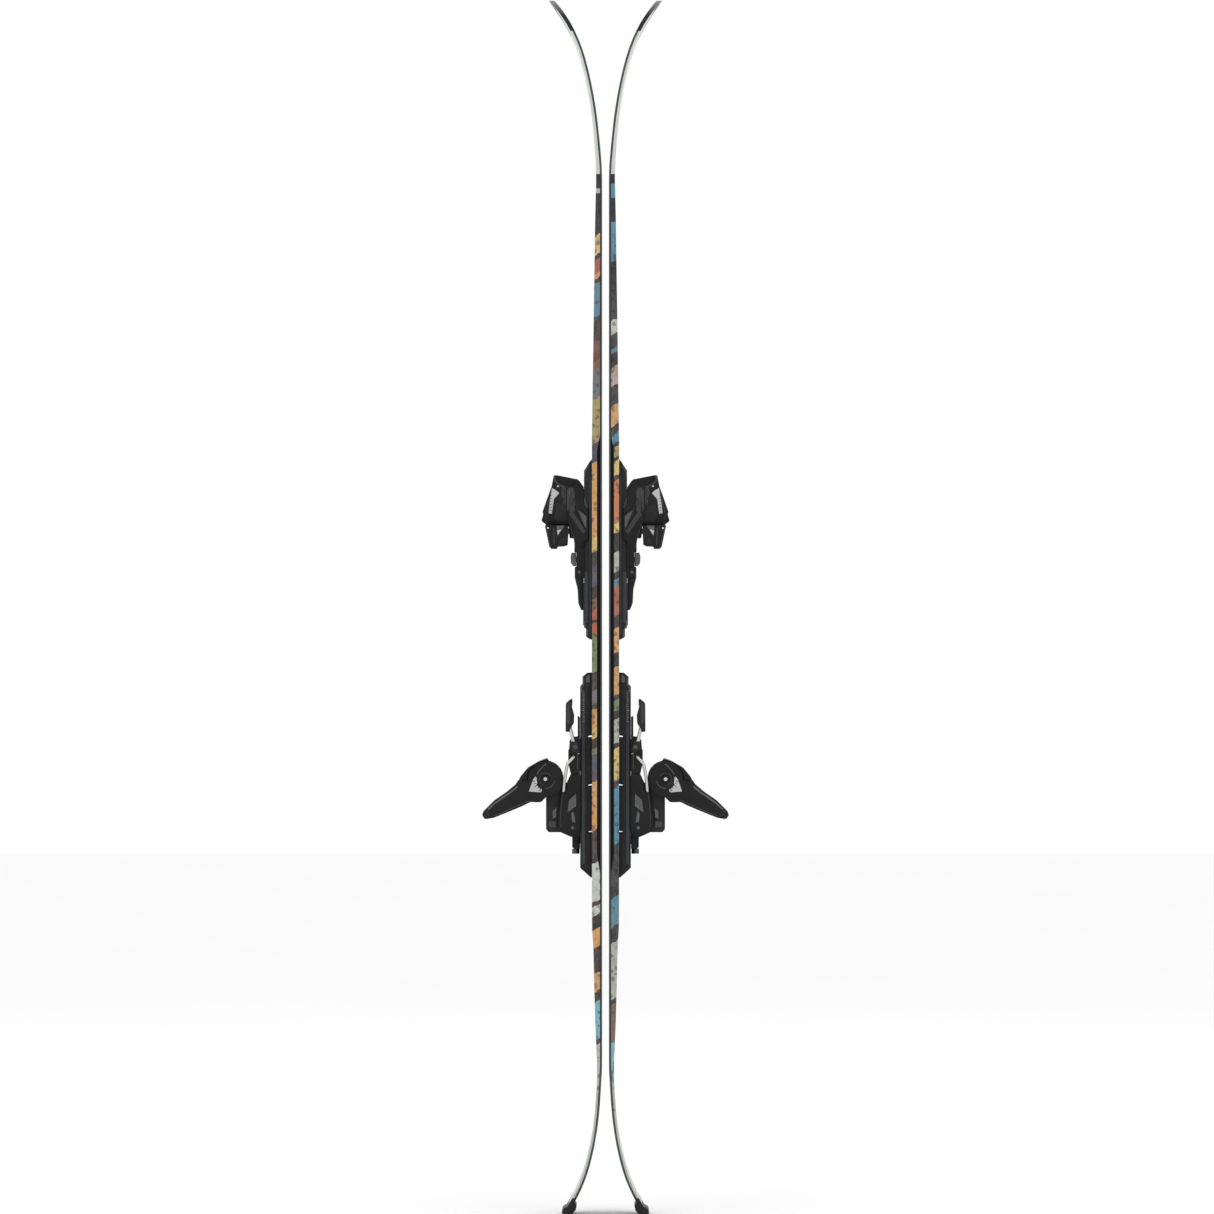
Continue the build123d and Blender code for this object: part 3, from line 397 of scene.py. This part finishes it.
world = bpy.data.worlds.new("studio")
bpy.context.scene.world = world
world.use_nodes = True
bg = world.node_tree.nodes["Background"]
bg.inputs["Color"].default_value = (1, 1, 1, 1)
bg.inputs["Strength"].default_value = 1.0
bpy.context.scene.view_settings.view_transform = "Standard"


def area(name, loc, target, size, power, size_y=None):
    d = bpy.data.lights.new(name, "AREA")
    d.shape = "RECTANGLE"
    d.size = size
    d.size_y = size_y or size
    d.energy = power
    o = bpy.data.objects.new(name, d)
    bpy.context.scene.collection.objects.link(o)
    o.location = loc
    o.rotation_euler = (Vector(target) - Vector(loc)).to_track_quat("-Z", "Y").to_euler()
    return o


area("key", (-2.6, -3.2, 3.2), (0, 0, 0.9), 2.2, 14)
area("fill", (2.8, -3.0, 2.0), (0, 0, 0.8), 2.2, 7)
area("rim", (0.4, 3.4, 3.0), (0, 0, 0.9), 2.2, 10)


def backdrop():
    bm = bmesh.new()
    prof = [(-14.0, 0.0), (0.0, 0.0), (14.0, 0.0)]
    rows = []
    for y, z in prof:
        rows.append([bm.verts.new((x, y, z)) for x in (-14.0, 14.0)])
    for a, b in zip(rows, rows[1:]):
        bm.faces.new((a[0], a[1], b[1], b[0]))
    me = bpy.data.meshes.new("floor")
    bm.to_mesh(me)
    bm.free()
    ob = link("floor", me)
    for p in me.polygons:
        p.use_smooth = True
    m, nt, b = new_mat("paper_white")
    v = coords(nt)
    n = noise(nt, v, 2.0, 2.0)
    nt.links.new(mixc(nt, n, (0.95, 0.95, 0.95), (0.97, 0.97, 0.97)), b.inputs["Base Color"])
    b.inputs["Roughness"].default_value = 0.9
    me.materials.append(m)


backdrop()

# --------------------------------------------------- pieces that follow a surface
from mathutils.bvhtree import BVHTree
from mathutils.geometry import delaunay_2d_cdt

_trees = {}


def tree(node):
    if node not in _trees:
        o = frame["nodes"][node]
        _trees[node] = BVHTree.FromPolygons([o.matrix_world @ v.co for v in o.data.vertices],
                                            [tuple(p.vertices) for p in o.data.polygons])
    return _trees[node]


def inside(p, poly):
    hit = False
    for a, b in zip(poly, poly[1:] + poly[:1]):
        if (a[1] > p[1]) != (b[1] > p[1]) and p[0] < (b[0] - a[0]) * (p[1] - a[1]) / (b[1] - a[1]) + a[0]:
            hit = not hit
    return hit


def seg_dist(p, a, b):
    ab = (b[0] - a[0], b[1] - a[1])
    t = ((p[0] - a[0]) * ab[0] + (p[1] - a[1]) * ab[1]) / max(1e-9, ab[0] ** 2 + ab[1] ** 2)
    t = min(1, max(0, t))
    return math.hypot(p[0] - a[0] - t * ab[0], p[1] - a[1] - t * ab[1])


def surface_v(side, node, z, h, sgn):
    hit = tree(node).ray_cast(W(side, z, h, sgn * 150), Vector((0, -sgn, 0)))
    return None if hit[0] is None else abs(hit[0].y) * 1000


def patch(name, side, node, body, pts, mat, lift=0.3, depth=0.9, step=2.2, sides=(-1, 1), crown=0.0):
    """A thin panel laid on the side faces of a CAD node, following its surface. pts are (z, h) in mm."""
    pts = [tuple(p) for p in pts]
    if sum(a[0] * b[1] - b[0] * a[1] for a, b in zip(pts, pts[1:] + pts[:1])) < 0:
        pts = pts[::-1]
    loop = []
    for a, b in zip(pts, pts[1:] + pts[:1]):
        n = max(1, int(math.dist(a, b) / step))
        loop += [(a[0] + (b[0] - a[0]) * i / n, a[1] + (b[1] - a[1]) * i / n) for i in range(n)]
    inner = []
    z = min(p[0] for p in pts) + step / 2
    while z < max(p[0] for p in pts):
        h = min(p[1] for p in pts) + step / 2
        while h < max(p[1] for p in pts):
            if inside((z, h), pts) and min(seg_dist((z, h), a, b) for a, b in zip(pts, pts[1:] + pts[:1])) > step * 0.35:
                inner.append((z, h))
            h += step
        z += step
    res = delaunay_2d_cdt([Vector(p) for p in loop + inner], [], [list(range(len(loop)))], 1, 1e-5)
    v2, faces = [tuple(p) for p in res[0]], [tuple(f) for f in res[2]]
    bm = bmesh.new()
    for sgn in sides:
        raw = [surface_v(side, node, p[0], p[1], sgn) for p in v2]
        good = sorted(r for r in raw if r is not None)
        if not good:
            continue
        mid = good[len(good) // 2]
        val = []
        for p, r in zip(v2, raw):
            if r is None or abs(r - mid) > 6.0:
                near = sorted((math.dist(p, q), t) for q, t in zip(v2, raw) if t is not None and abs(t - mid) <= 6.0)
                r = near[0][1]
            rise = 0.0
            if crown:
                d = min(seg_dist(p, a, b) for a, b in zip(pts, pts[1:] + pts[:1]))
                rise = crown * (1 - math.exp(-d / 1.3))
            val.append(r + rise)
        out = [bm.verts.new(W(side, p[0], p[1], sgn * (r + lift))) for p, r in zip(v2, val)]
        back = [bm.verts.new(W(side, p[0], p[1], sgn * (r - depth))) for p, r in zip(v2, val)]
        count = {}
        for f in faces:
            bm.faces.new([out[i] for i in f])
            bm.faces.new([back[i] for i in reversed(f)])
            for a, b in zip(f, f[1:] + f[:1]):
                count[(a, b)] = 1
        for a, b in count:
            if (b, a) not in count:
                bm.faces.new([out[b], out[a], back[a], back[b]])
    bmesh.ops.recalc_face_normals(bm, faces=bm.faces)
    me = bpy.data.meshes.new(side + "_" + name)
    bm.to_mesh(me)
    bm.free()
    ob = link(side + "_" + name, me)
    smooth(me, 40.0)
    return finish_obj(ob, mat, bod(side, body))


def band(points, w):
    """Closed outline of a strip of width w along a line of (z, h) points."""
    left, right = [], []
    for i, p in enumerate(points):
        a = points[max(0, i - 1)]
        b = points[min(len(points) - 1, i + 1)]
        d = (b[0] - a[0], b[1] - a[1])
        n = math.hypot(*d)
        nx, ny = -d[1] / n * w / 2, d[0] / n * w / 2
        left.append((p[0] + nx, p[1] + ny))
        right.append((p[0] - nx, p[1] - ny))
    return left + right[::-1]


def arc(cz, ch, r, a0, a1, n=14):
    return [(cz + r * math.cos(math.radians(a0 + (a1 - a0) * i / n)),
             ch + r * math.sin(math.radians(a0 + (a1 - a0) * i / n))) for i in range(n + 1)]


def disc(cz, ch, r, n=20):
    return arc(cz, ch, r, 0, 360 - 360 / n, n - 1)


def turned(name, side, body, z, h, profile, mat, sides=(-1, 1), seg=32):
    """A turned piece on a lateral axis; profile is (radius, distance from the centre plane)."""
    bm = bmesh.new()
    for sgn in sides:
        rings = []
        for r, v in profile:
            if r < 1e-6:
                rings.append([bm.verts.new(W(side, z, h, sgn * v))])
            else:
                rings.append([bm.verts.new(W(side, z + r * math.cos(2 * math.pi * k / seg),
                                             h + r * math.sin(2 * math.pi * k / seg), sgn * v)) for k in range(seg)])
        for a, b in zip(rings, rings[1:]):
            for k in range(seg):
                q = [a[k % len(a)], a[(k + 1) % len(a)], b[(k + 1) % len(b)], b[k % len(b)]]
                u = []
                for t in q:
                    if t not in u:
                        u.append(t)
                if len(u) >= 3:
                    bm.faces.new(u)
    bmesh.ops.recalc_face_normals(bm, faces=bm.faces)
    me = bpy.data.meshes.new(side + "_" + name)
    bm.to_mesh(me)
    bm.free()
    ob = link(side + "_" + name, me)
    smooth(me, 35.0)
    return finish_obj(ob, mat, bod(side, body))


def lip(name, side, body, prof, z0, z1, mat):
    """A moulded lip along the ski, on both sides; prof is (h, |v|)."""
    bm = bmesh.new()
    for sgn in (-1, 1):
        a = [bm.verts.new(W(side, z0, h, sgn * v)) for h, v in prof]
        b = [bm.verts.new(W(side, z1, h, sgn * v)) for h, v in prof]
        bm.faces.new(a)
        bm.faces.new(b[::-1])
        for k in range(len(a)):
            n = (k + 1) % len(a)
            bm.faces.new([a[k], a[n], b[n], b[k]])
    bmesh.ops.recalc_face_normals(bm, faces=bm.faces)
    me = bpy.data.meshes.new(side + "_" + name)
    bm.to_mesh(me)
    bm.free()
    ob = link(side + "_" + name, me)
    m = ob.modifiers.new("round", "BEVEL")
    m.width = 0.0002
    m.segments = 2
    m.limit_method = "ANGLE"
    m.angle_limit = math.radians(30)
    apply_mods(ob)
    smooth(ob.data)
    return finish_obj(ob, mat, bod(side, body))


# ------------------------------------------------------- carried-over CAD parts
for s in SIDES:
    for node, mat, bev in (
            ("top_cap", "top_" + s, 0.6), ("sidewalls", "wall", 0), ("steel_edges", "edge", 0), ("ski_base", "base", 0),
            ("end_guards", "guard", 0.8), ("toe_track", "black2", 0.4), ("heel_track", "black2", 0.4),
            ("toe_body", "black", 0.7), ("toe_wing_a", "black", 0.8), ("toe_wing_b", "black", 0.8),
            ("afd_plate", "grey", 0.4), ("toe_lock_lever", "black2", 0.7), ("toe_setting_screw", "grey", 0.5),
            ("heel_carriage", "black", 0.5), ("heel_housing", "black", 0.8), ("heel_tower", "black2", 0.7),
            ("brake_base", "black", 0.6), ("heel_cup", "black", 0.8), ("heel_lever", "black", 0.9),
            ("brake_pads", "black2", 0.7), ("brake_pedal", "black2", 0.4), ("mount_screws", "screw", 0.2),
            ("toe_pins", "screw_dark", 0.3), ("heel_setting_screw", "screw", 0.3), ("pressure_screw", "screw_dark", 0.3)):
        if bev:
            carry(bod(s, node), M[mat], bev)
        else:
            paint(bod(s, node), M[mat])
    for node, mat in (("wood_core", "wood"), ("toe_spring", "spring"), ("heel_springs", "spring"),
                      ("heel_axle_and_bail", "wire"), ("brake_wires", "wire")):
        paint(bod(s, node), M[mat])

# ---------------------------------------------------------------- toe details
WINDOW = [(1030.5, 71.0), (1027.3, 65.3), (1023.4, 60.8), (1014.8, 68.4), (994.0, 71.2), (995.0, 76.0), (1012.0, 74.0)]
for s in SIDES:
    tb = bod(s, "toe_body")
    patch("toe_window", s, tb, "toe_carriage", WINDOW, M["light"], 0.25)
    for k in range(6):
        z0 = 998.5 + 4.2 * k
        patch("toe_tick_%d" % k, s, tb, "toe_carriage", [(z0, 71.7), (z0 + 0.8, 71.7), (z0 + 0.8, 74.2 - 0.3 * k),
                                                         (z0, 74.2 - 0.3 * k)], M["tick"], 0.5, 0.5)
    # toe_ridge, toe_facet_top, toe_facet_rear and toe_arm are lighter than the black body: painted light on faces
    # turned to the lamps. toe_base_line, toe_seam, toe_crown_line and toe_ridge_shine are painted highlights.
    patch("toe_ridge", s, tb, "toe_carriage", [(1031, 46.5), (1028, 49.6), (1000, 50.0), (995.5, 47.5), (995, 41.0),
                                               (999, 38.2), (1026, 38.2), (1031, 41.0)], M["facet"], 0.3, 1.2, 1.6,
          crown=1.5)
    patch("toe_facet_top", s, tb, "toe_carriage", [(1031.8, 57.0), (1030.6, 51.4), (1004.0, 51.4), (1021.0, 57.5)],
          M["facet"], 0.3, 0.8, 1.8)
    patch("toe_facet_rear", s, tb, "toe_carriage", [(1003.0, 52.0), (984.0, 49.4), (982.0, 64.0), (988.0, 67.5),
                                                    (1010.0, 66.0)], M["black2"], 0.3, 0.8, 1.8, crown=0.4)
    patch("toe_arm", s, tb, "toe_carriage", band([(995.0, 44.4), (984.0, 36.5), (967.0, 25.0)], 6.0), M["facet"], 0.5,
          1.2, 1.8, crown=0.9)
    patch("toe_base_line", s, tb, "toe_carriage", band([(978.0, 46.0), (962.0, 40.6), (946.0, 37.6)], 0.9), M["rim"],
          0.3, 0.6, 1.6)
    patch("toe_well_edge", s, tb, "toe_carriage", band([(1047.2, 67.4), (1040.4, 66.6), (1034.4, 60.6), (1031.6, 52.0)],
                                                       0.9), M["grey"], 0.3, 0.6, 1.2)
    patch("toe_ridge_shine", s, tb, "toe_carriage", band([(999, 46.5), (1012, 46.9), (1026, 46.2)], 1.1), M["grey"],
          2.1, 1.5, 1.5)
    patch("toe_brace_panel", s, tb, "toe_carriage", [(1002.6, 35.6), (990.2, 22.4), (970.0, 22.4)], M["grey"], 0.15)
    patch("toe_brace_rib_a", s, tb, "toe_carriage", band([(1004.6, 38.0), (990.8, 21.4)], 1.6), M["black2"], 1.3, 1.6)
    patch("toe_brace_rib_b", s, tb, "toe_carriage", band([(1004.6, 38.0), (968.0, 22.2)], 1.6), M["black2"], 1.3, 1.6)
    patch("toe_mark", s, tb, "toe_carriage", disc(1033.0, 62.5, 1.3), M["light"], 0.4, 0.6, 1.0)
    patch("toe_seam", s, tb, "toe_carriage", band([(984, 56.0), (1000, 55.6), (1016, 54.4), (1029, 53.0)], 0.8),
          M["rim"], 0.3, 0.5, 1.5)
    patch("toe_crown_line", s, tb, "toe_carriage", band([(984.5, 79.5), (994, 79.6), (1008, 76.9), (1016, 74.2)], 0.8),
          M["rim"], 0.35, 0.5, 1.5)
    for w, sgn in (("a", 1), ("b", -1)):
        vv = sgn if s == "right" else -sgn
        n = bod(s, "toe_wing_" + w)
        bdy = "toe_wing_" + w
        patch("wing_recess_" + w, s, n, bdy, [(977.0, 64.2), (977.0, 53.2), (961.8, 63.2)], M["grey"], 0.2, 0.6, 1.4,
              sides=(vv,))
        patch("wing_recess_tip_" + w, s, n, bdy, [(970.6, 63.7), (971.6, 57.6), (962.6, 63.1)], M["light"], 0.45, 0.5,
              1.2, sides=(vv,))
        patch("wing_hole_" + w, s, n, bdy, disc(973.6, 76.4, 1.2), M["white"], 0.3, 0.5, 0.8, sides=(vv,))
        # The rib and edge bands are painted highlights on the wing.
        patch("wing_rib_" + w, s, n, bdy, band([(973.0, 68.4), (960.0, 68.0), (949.5, 67.6)], 1.3), M["rim"], 0.5, 0.7,
              1.4, sides=(vv,))
        patch("wing_edge_" + w, s, n, bdy, band([(975.6, 79.0), (961.0, 76.0), (949.0, 73.2)], 1.0), M["rim"], 0.4, 0.6,
              1.4, sides=(vv,))
        patch("wing_pad_" + w, s, n, bdy, [(951.4, 62.0), (951.8, 53.6), (954.4, 52.0), (959.6, 52.0), (959.6, 58.0)],
              M["black2"], 0.4, 0.6, 1.4, sides=(vv,), crown=0.5)
    tt = bod(s, "toe_track")
    patch("toe_track_panel", s, tt, "ski", [(840, 20.3), (840, 24.8), (912, 24.8), (912, 20.3)], M["panel"], 0.15,
          0.5, 3.0)
    patch("toe_track_rail", s, tt, "ski", [(822, 16.0), (822, 17.6), (1046, 17.6), (1046, 16.0)], M["panel"], 0.15, 0.5,
          4.0)
    # toe_track_facet is a grey patch painted as a lit face of the track.
    patch("toe_track_facet", s, tt, "ski", [(1019.0, 25.4), (1002.0, 20.2), (1002.0, 25.2)], M["grey"], 0.15, 0.5, 1.8)
    patch("toe_track_nose", s, tt, "ski", band([(1044.0, 25.2), (1053.6, 24.4), (1064.0, 18.6)], 1.6), M["grey"], 0.2,
          0.5, 1.6)
    patch("toe_track_tail", s, tt, "ski", band([(842.0, 25.0), (834.2, 24.4), (828.0, 20.6), (820.4, 20.4)], 1.6),
          M["grey"], 0.2, 0.5, 1.6)
    lip("toe_track_bead", s, "ski", [(25.0, 28.9), (26.6, 28.9), (26.9, 29.3), (26.9, 29.7), (25.0, 29.9)], 836.0,
        896.0, M["black2"])
    lip("toe_plate_lip", s, "toe_carriage", [(24.9, 30.4), (26.9, 30.4), (26.9, 29.6), (28.0, 29.6), (28.0, 31.4),
                                             (25.3, 31.4)], 903.0, 946.0, M["black"])
    lip("wing_gap_web", s, "toe_carriage", [(48.6, 2.0), (80.0, 2.0), (80.0, 10.8), (78.0, 12.2), (50.0, 12.2),
                                            (48.6, 10.8)], 976.6, 981.5, M["black"])
    lip("toe_gap_lip", s, "toe_carriage", [(24.9, 30.6), (26.6, 30.6), (26.6, 33.2), (25.4, 33.2)], 946.0, 1006.0,
        M["black"])

# --------------------------------------------------------------- heel details
AX = (618.4, 80.2)
for s in SIDES:
    hl, hh, ht = bod(s, "heel_lever"), bod(s, "heel_housing"), bod(s, "heel_tower")
    patch("lever_window", s, hl, "lever", [(622.5, 94.0), (618.1, 97.6), (601.0, 103.6), (599.6, 87.0), (604.1, 87.2),
                                           (609.9, 92.6), (618.1, 93.6)], M["light"], 0.3, 0.7, 1.6)
    for k in range(5):
        a = 100 + 13 * k
        r0, r1 = 14.6, (19.4 if k % 2 == 0 else 17.4)
        p = [(AX[0] + r * math.cos(math.radians(a)), AX[1] + r * math.sin(math.radians(a))) for r in (r0, r1)]
        patch("lever_tick_%d" % k, s, hl, "lever", band(p, 0.7), M["tick"], 0.55, 0.6, 1.2)
    patch("lever_sliver_a", s, hl, "lever", band([(612.0, 92.2), (616.0, 93.2), (620.6, 93.2)], 0.7), M["white"], 0.5,
          0.5, 1.0)
    patch("lever_sliver_b", s, hl, "lever", band([(600.6, 86.0), (604.6, 86.4)], 0.8), M["white"], 0.5, 0.5, 1.0)
    # The lens, hub, inner-rim and tip bands and the grey outer-rim band are painted highlights on the lever's rims.
    patch("lever_lens_rim", s, hl, "lever", band(arc(AX[0], AX[1], 13.2, 175, 260), 1.5), M["rim"], 1.0, 1.0, 1.4)
    patch("lever_hub_ring", s, hl, "lever", band(arc(AX[0], AX[1], 8.6, -60, 160), 0.9), M["rim"], 0.5, 0.7, 1.4)
    patch("lever_cup_line", s, hl, "lever", band([(640.0, 79.0), (636.0, 84.0), (630.0, 89.4), (625.0, 92.4)], 1.3),
          M["grey"], 0.5, 0.7, 1.4)
    patch("lever_outer_rim", s, hl, "lever", band([(608.0, 119.5), (600.0, 129.2), (592.0, 141.0), (584.0, 152.0),
                                                   (575.0, 161.4)], 2.4), M["grey"], 0.7, 1.0, 1.8)
    patch("lever_inner_rim", s, hl, "lever", band([(588.6, 101.5), (583.6, 113.0), (577.6, 126.5), (571.0, 140.5),
                                                   (566.2, 154.0)], 1.1), M["rim"], 0.4, 0.7, 1.8)
    patch("lever_tip_line", s, hl, "lever", band([(566.0, 160.0), (571.0, 163.2), (576.5, 159.6)], 0.9), M["rim"], 0.4,
          0.6, 1.2)
    # The grey facets are painted light on faces of the housing and tower; housing_line and tower_panel, in the rim
    # grey, are painted highlights.
    patch("facet_front", s, hh, "heel_unit", [(588.4, 47.0), (592.0, 43.2), (598.0, 36.8), (580.2, 36.8),
                                              (571.2, 49.0)], M["grey"], 0.12, 0.5, 1.8)
    patch("facet_rear", s, hh, "heel_unit", [(570.6, 43.8), (572.2, 40.2), (557.0, 37.6), (557.6, 42.6)], M["grey"],
          0.12, 0.5, 1.6)
    patch("housing_knob", s, hh, "heel_unit", disc(549.4, 41.6, 2.2), M["grey"], 0.7, 0.8, 1.0)
    patch("housing_line", s, hh, "heel_unit", band([(598.0, 55.4), (585.0, 57.2), (567.0, 58.8), (550.0, 58.0)], 0.8),
          M["rim"], 0.4, 0.6, 1.6)
    patch("tower_facet", s, ht, "heel_unit", [(573.0, 70.0), (578.0, 64.6), (564.0, 65.6), (562.0, 70.0)], M["grey"],
          0.2, 0.6, 1.4)
    patch("tower_panel", s, ht, "heel_unit", [(551.0, 75.5), (549.0, 66.0), (558.0, 65.5), (558.0, 75.5)], M["rim"],
          0.3, 0.6, 1.6)
    turned("axle_cap", s, "heel_unit", AX[0], AX[1], [(0, 34.0), (2.7, 34.0), (2.7, 34.6), (2.2, 35.1), (1.2, 35.5),
                                                       (0, 35.6)], M["wire"])
    turned("axle_collar", s, "heel_unit", AX[0], AX[1], [(0, 33.0), (5.4, 33.0), (5.4, 33.9), (5.0, 34.3), (0, 34.3)],
           M["black"])
    bb = bod(s, "brake_base")
    for k, (z0, h0) in enumerate(((654.5, 33.0),)):
        patch("base_dot_%d" % k, s, bb, "heel_unit", disc(z0, h0, 0.7), M["white"], 0.3, 0.5, 0.6)
    # base_rib is a painted highlight along a rib of the brake base.
    patch("base_rib", s, bb, "heel_unit", band([(632.0, 35.0), (645.0, 34.6), (658.0, 34.6)], 1.2), M["rim"], 0.5, 0.7,
          1.5)
    bp = bod(s, "brake_pads")
    patch("pad_face", s, bp, "brake", [(728.0, 45.4), (724.2, 49.8), (701.0, 50.2), (696.0, 48.6), (699.0, 45.6),
                                       (716.0, 45.0)], M["pad"], 0.35, 0.7, 1.8, crown=0.4)
    turned("pivot_cap", s, "brake", 664.0, 37.6, [(0, 56.0), (3.0, 56.0), (3.0, 56.8), (2.2, 57.2), (0, 57.4)],
           M["screw_dark"])
    hk = bod(s, "heel_track")
    patch("heel_track_panel", s, hk, "ski", [(498, 24.4), (498, 28.6), (744, 28.6), (744, 24.4)], M["panel"], 0.12, 0.4,
          4.0)
    patch("heel_track_front", s, hk, "ski", [(755.5, 17.5), (755.5, 22.5), (764.0, 22.5), (766.0, 19.0), (766.0, 17.5)],
          M["grey"], 0.15, 0.4, 1.6)
    for k in range(14):
        z0 = 700.0 + 3.0 * k
        patch("length_tick_%d" % k, s, hk, "ski", [(z0, 25.2), (z0 + 0.5, 25.2), (z0 + 0.5, 27.8 if k % 5 == 0 else 26.6),
                                                   (z0, 27.8 if k % 5 == 0 else 26.6)], M["light"], 0.25, 0.3, 2.0)
    lip("runner_pad", s, "heel_unit", [(31.5, 0.0), (33.4, 0.0), (33.4, 17.4), (32.9, 17.9), (31.9, 17.9), (31.5, 17.4)],
        678.0, 706.0, M["black2"])
    patch("heel_track_nose", s, hk, "ski", band([(741.0, 29.4), (748.6, 29.2), (751.6, 26.4), (762.0, 26.2)], 1.4),
          M["grey"], 0.2, 0.5, 1.6)
    lip("heel_gap_lip", s, "heel_unit", [(29.6, 28.5), (31.8, 28.5), (31.8, 31.0), (30.4, 31.0)], 548.0, 622.0,
        M["black"])
    lip("brake_gap_lip", s, "heel_unit", [(29.8, 28.5), (32.0, 28.5), (32.0, 32.6), (30.6, 32.6)], 630.0, 674.0,
        M["black"])
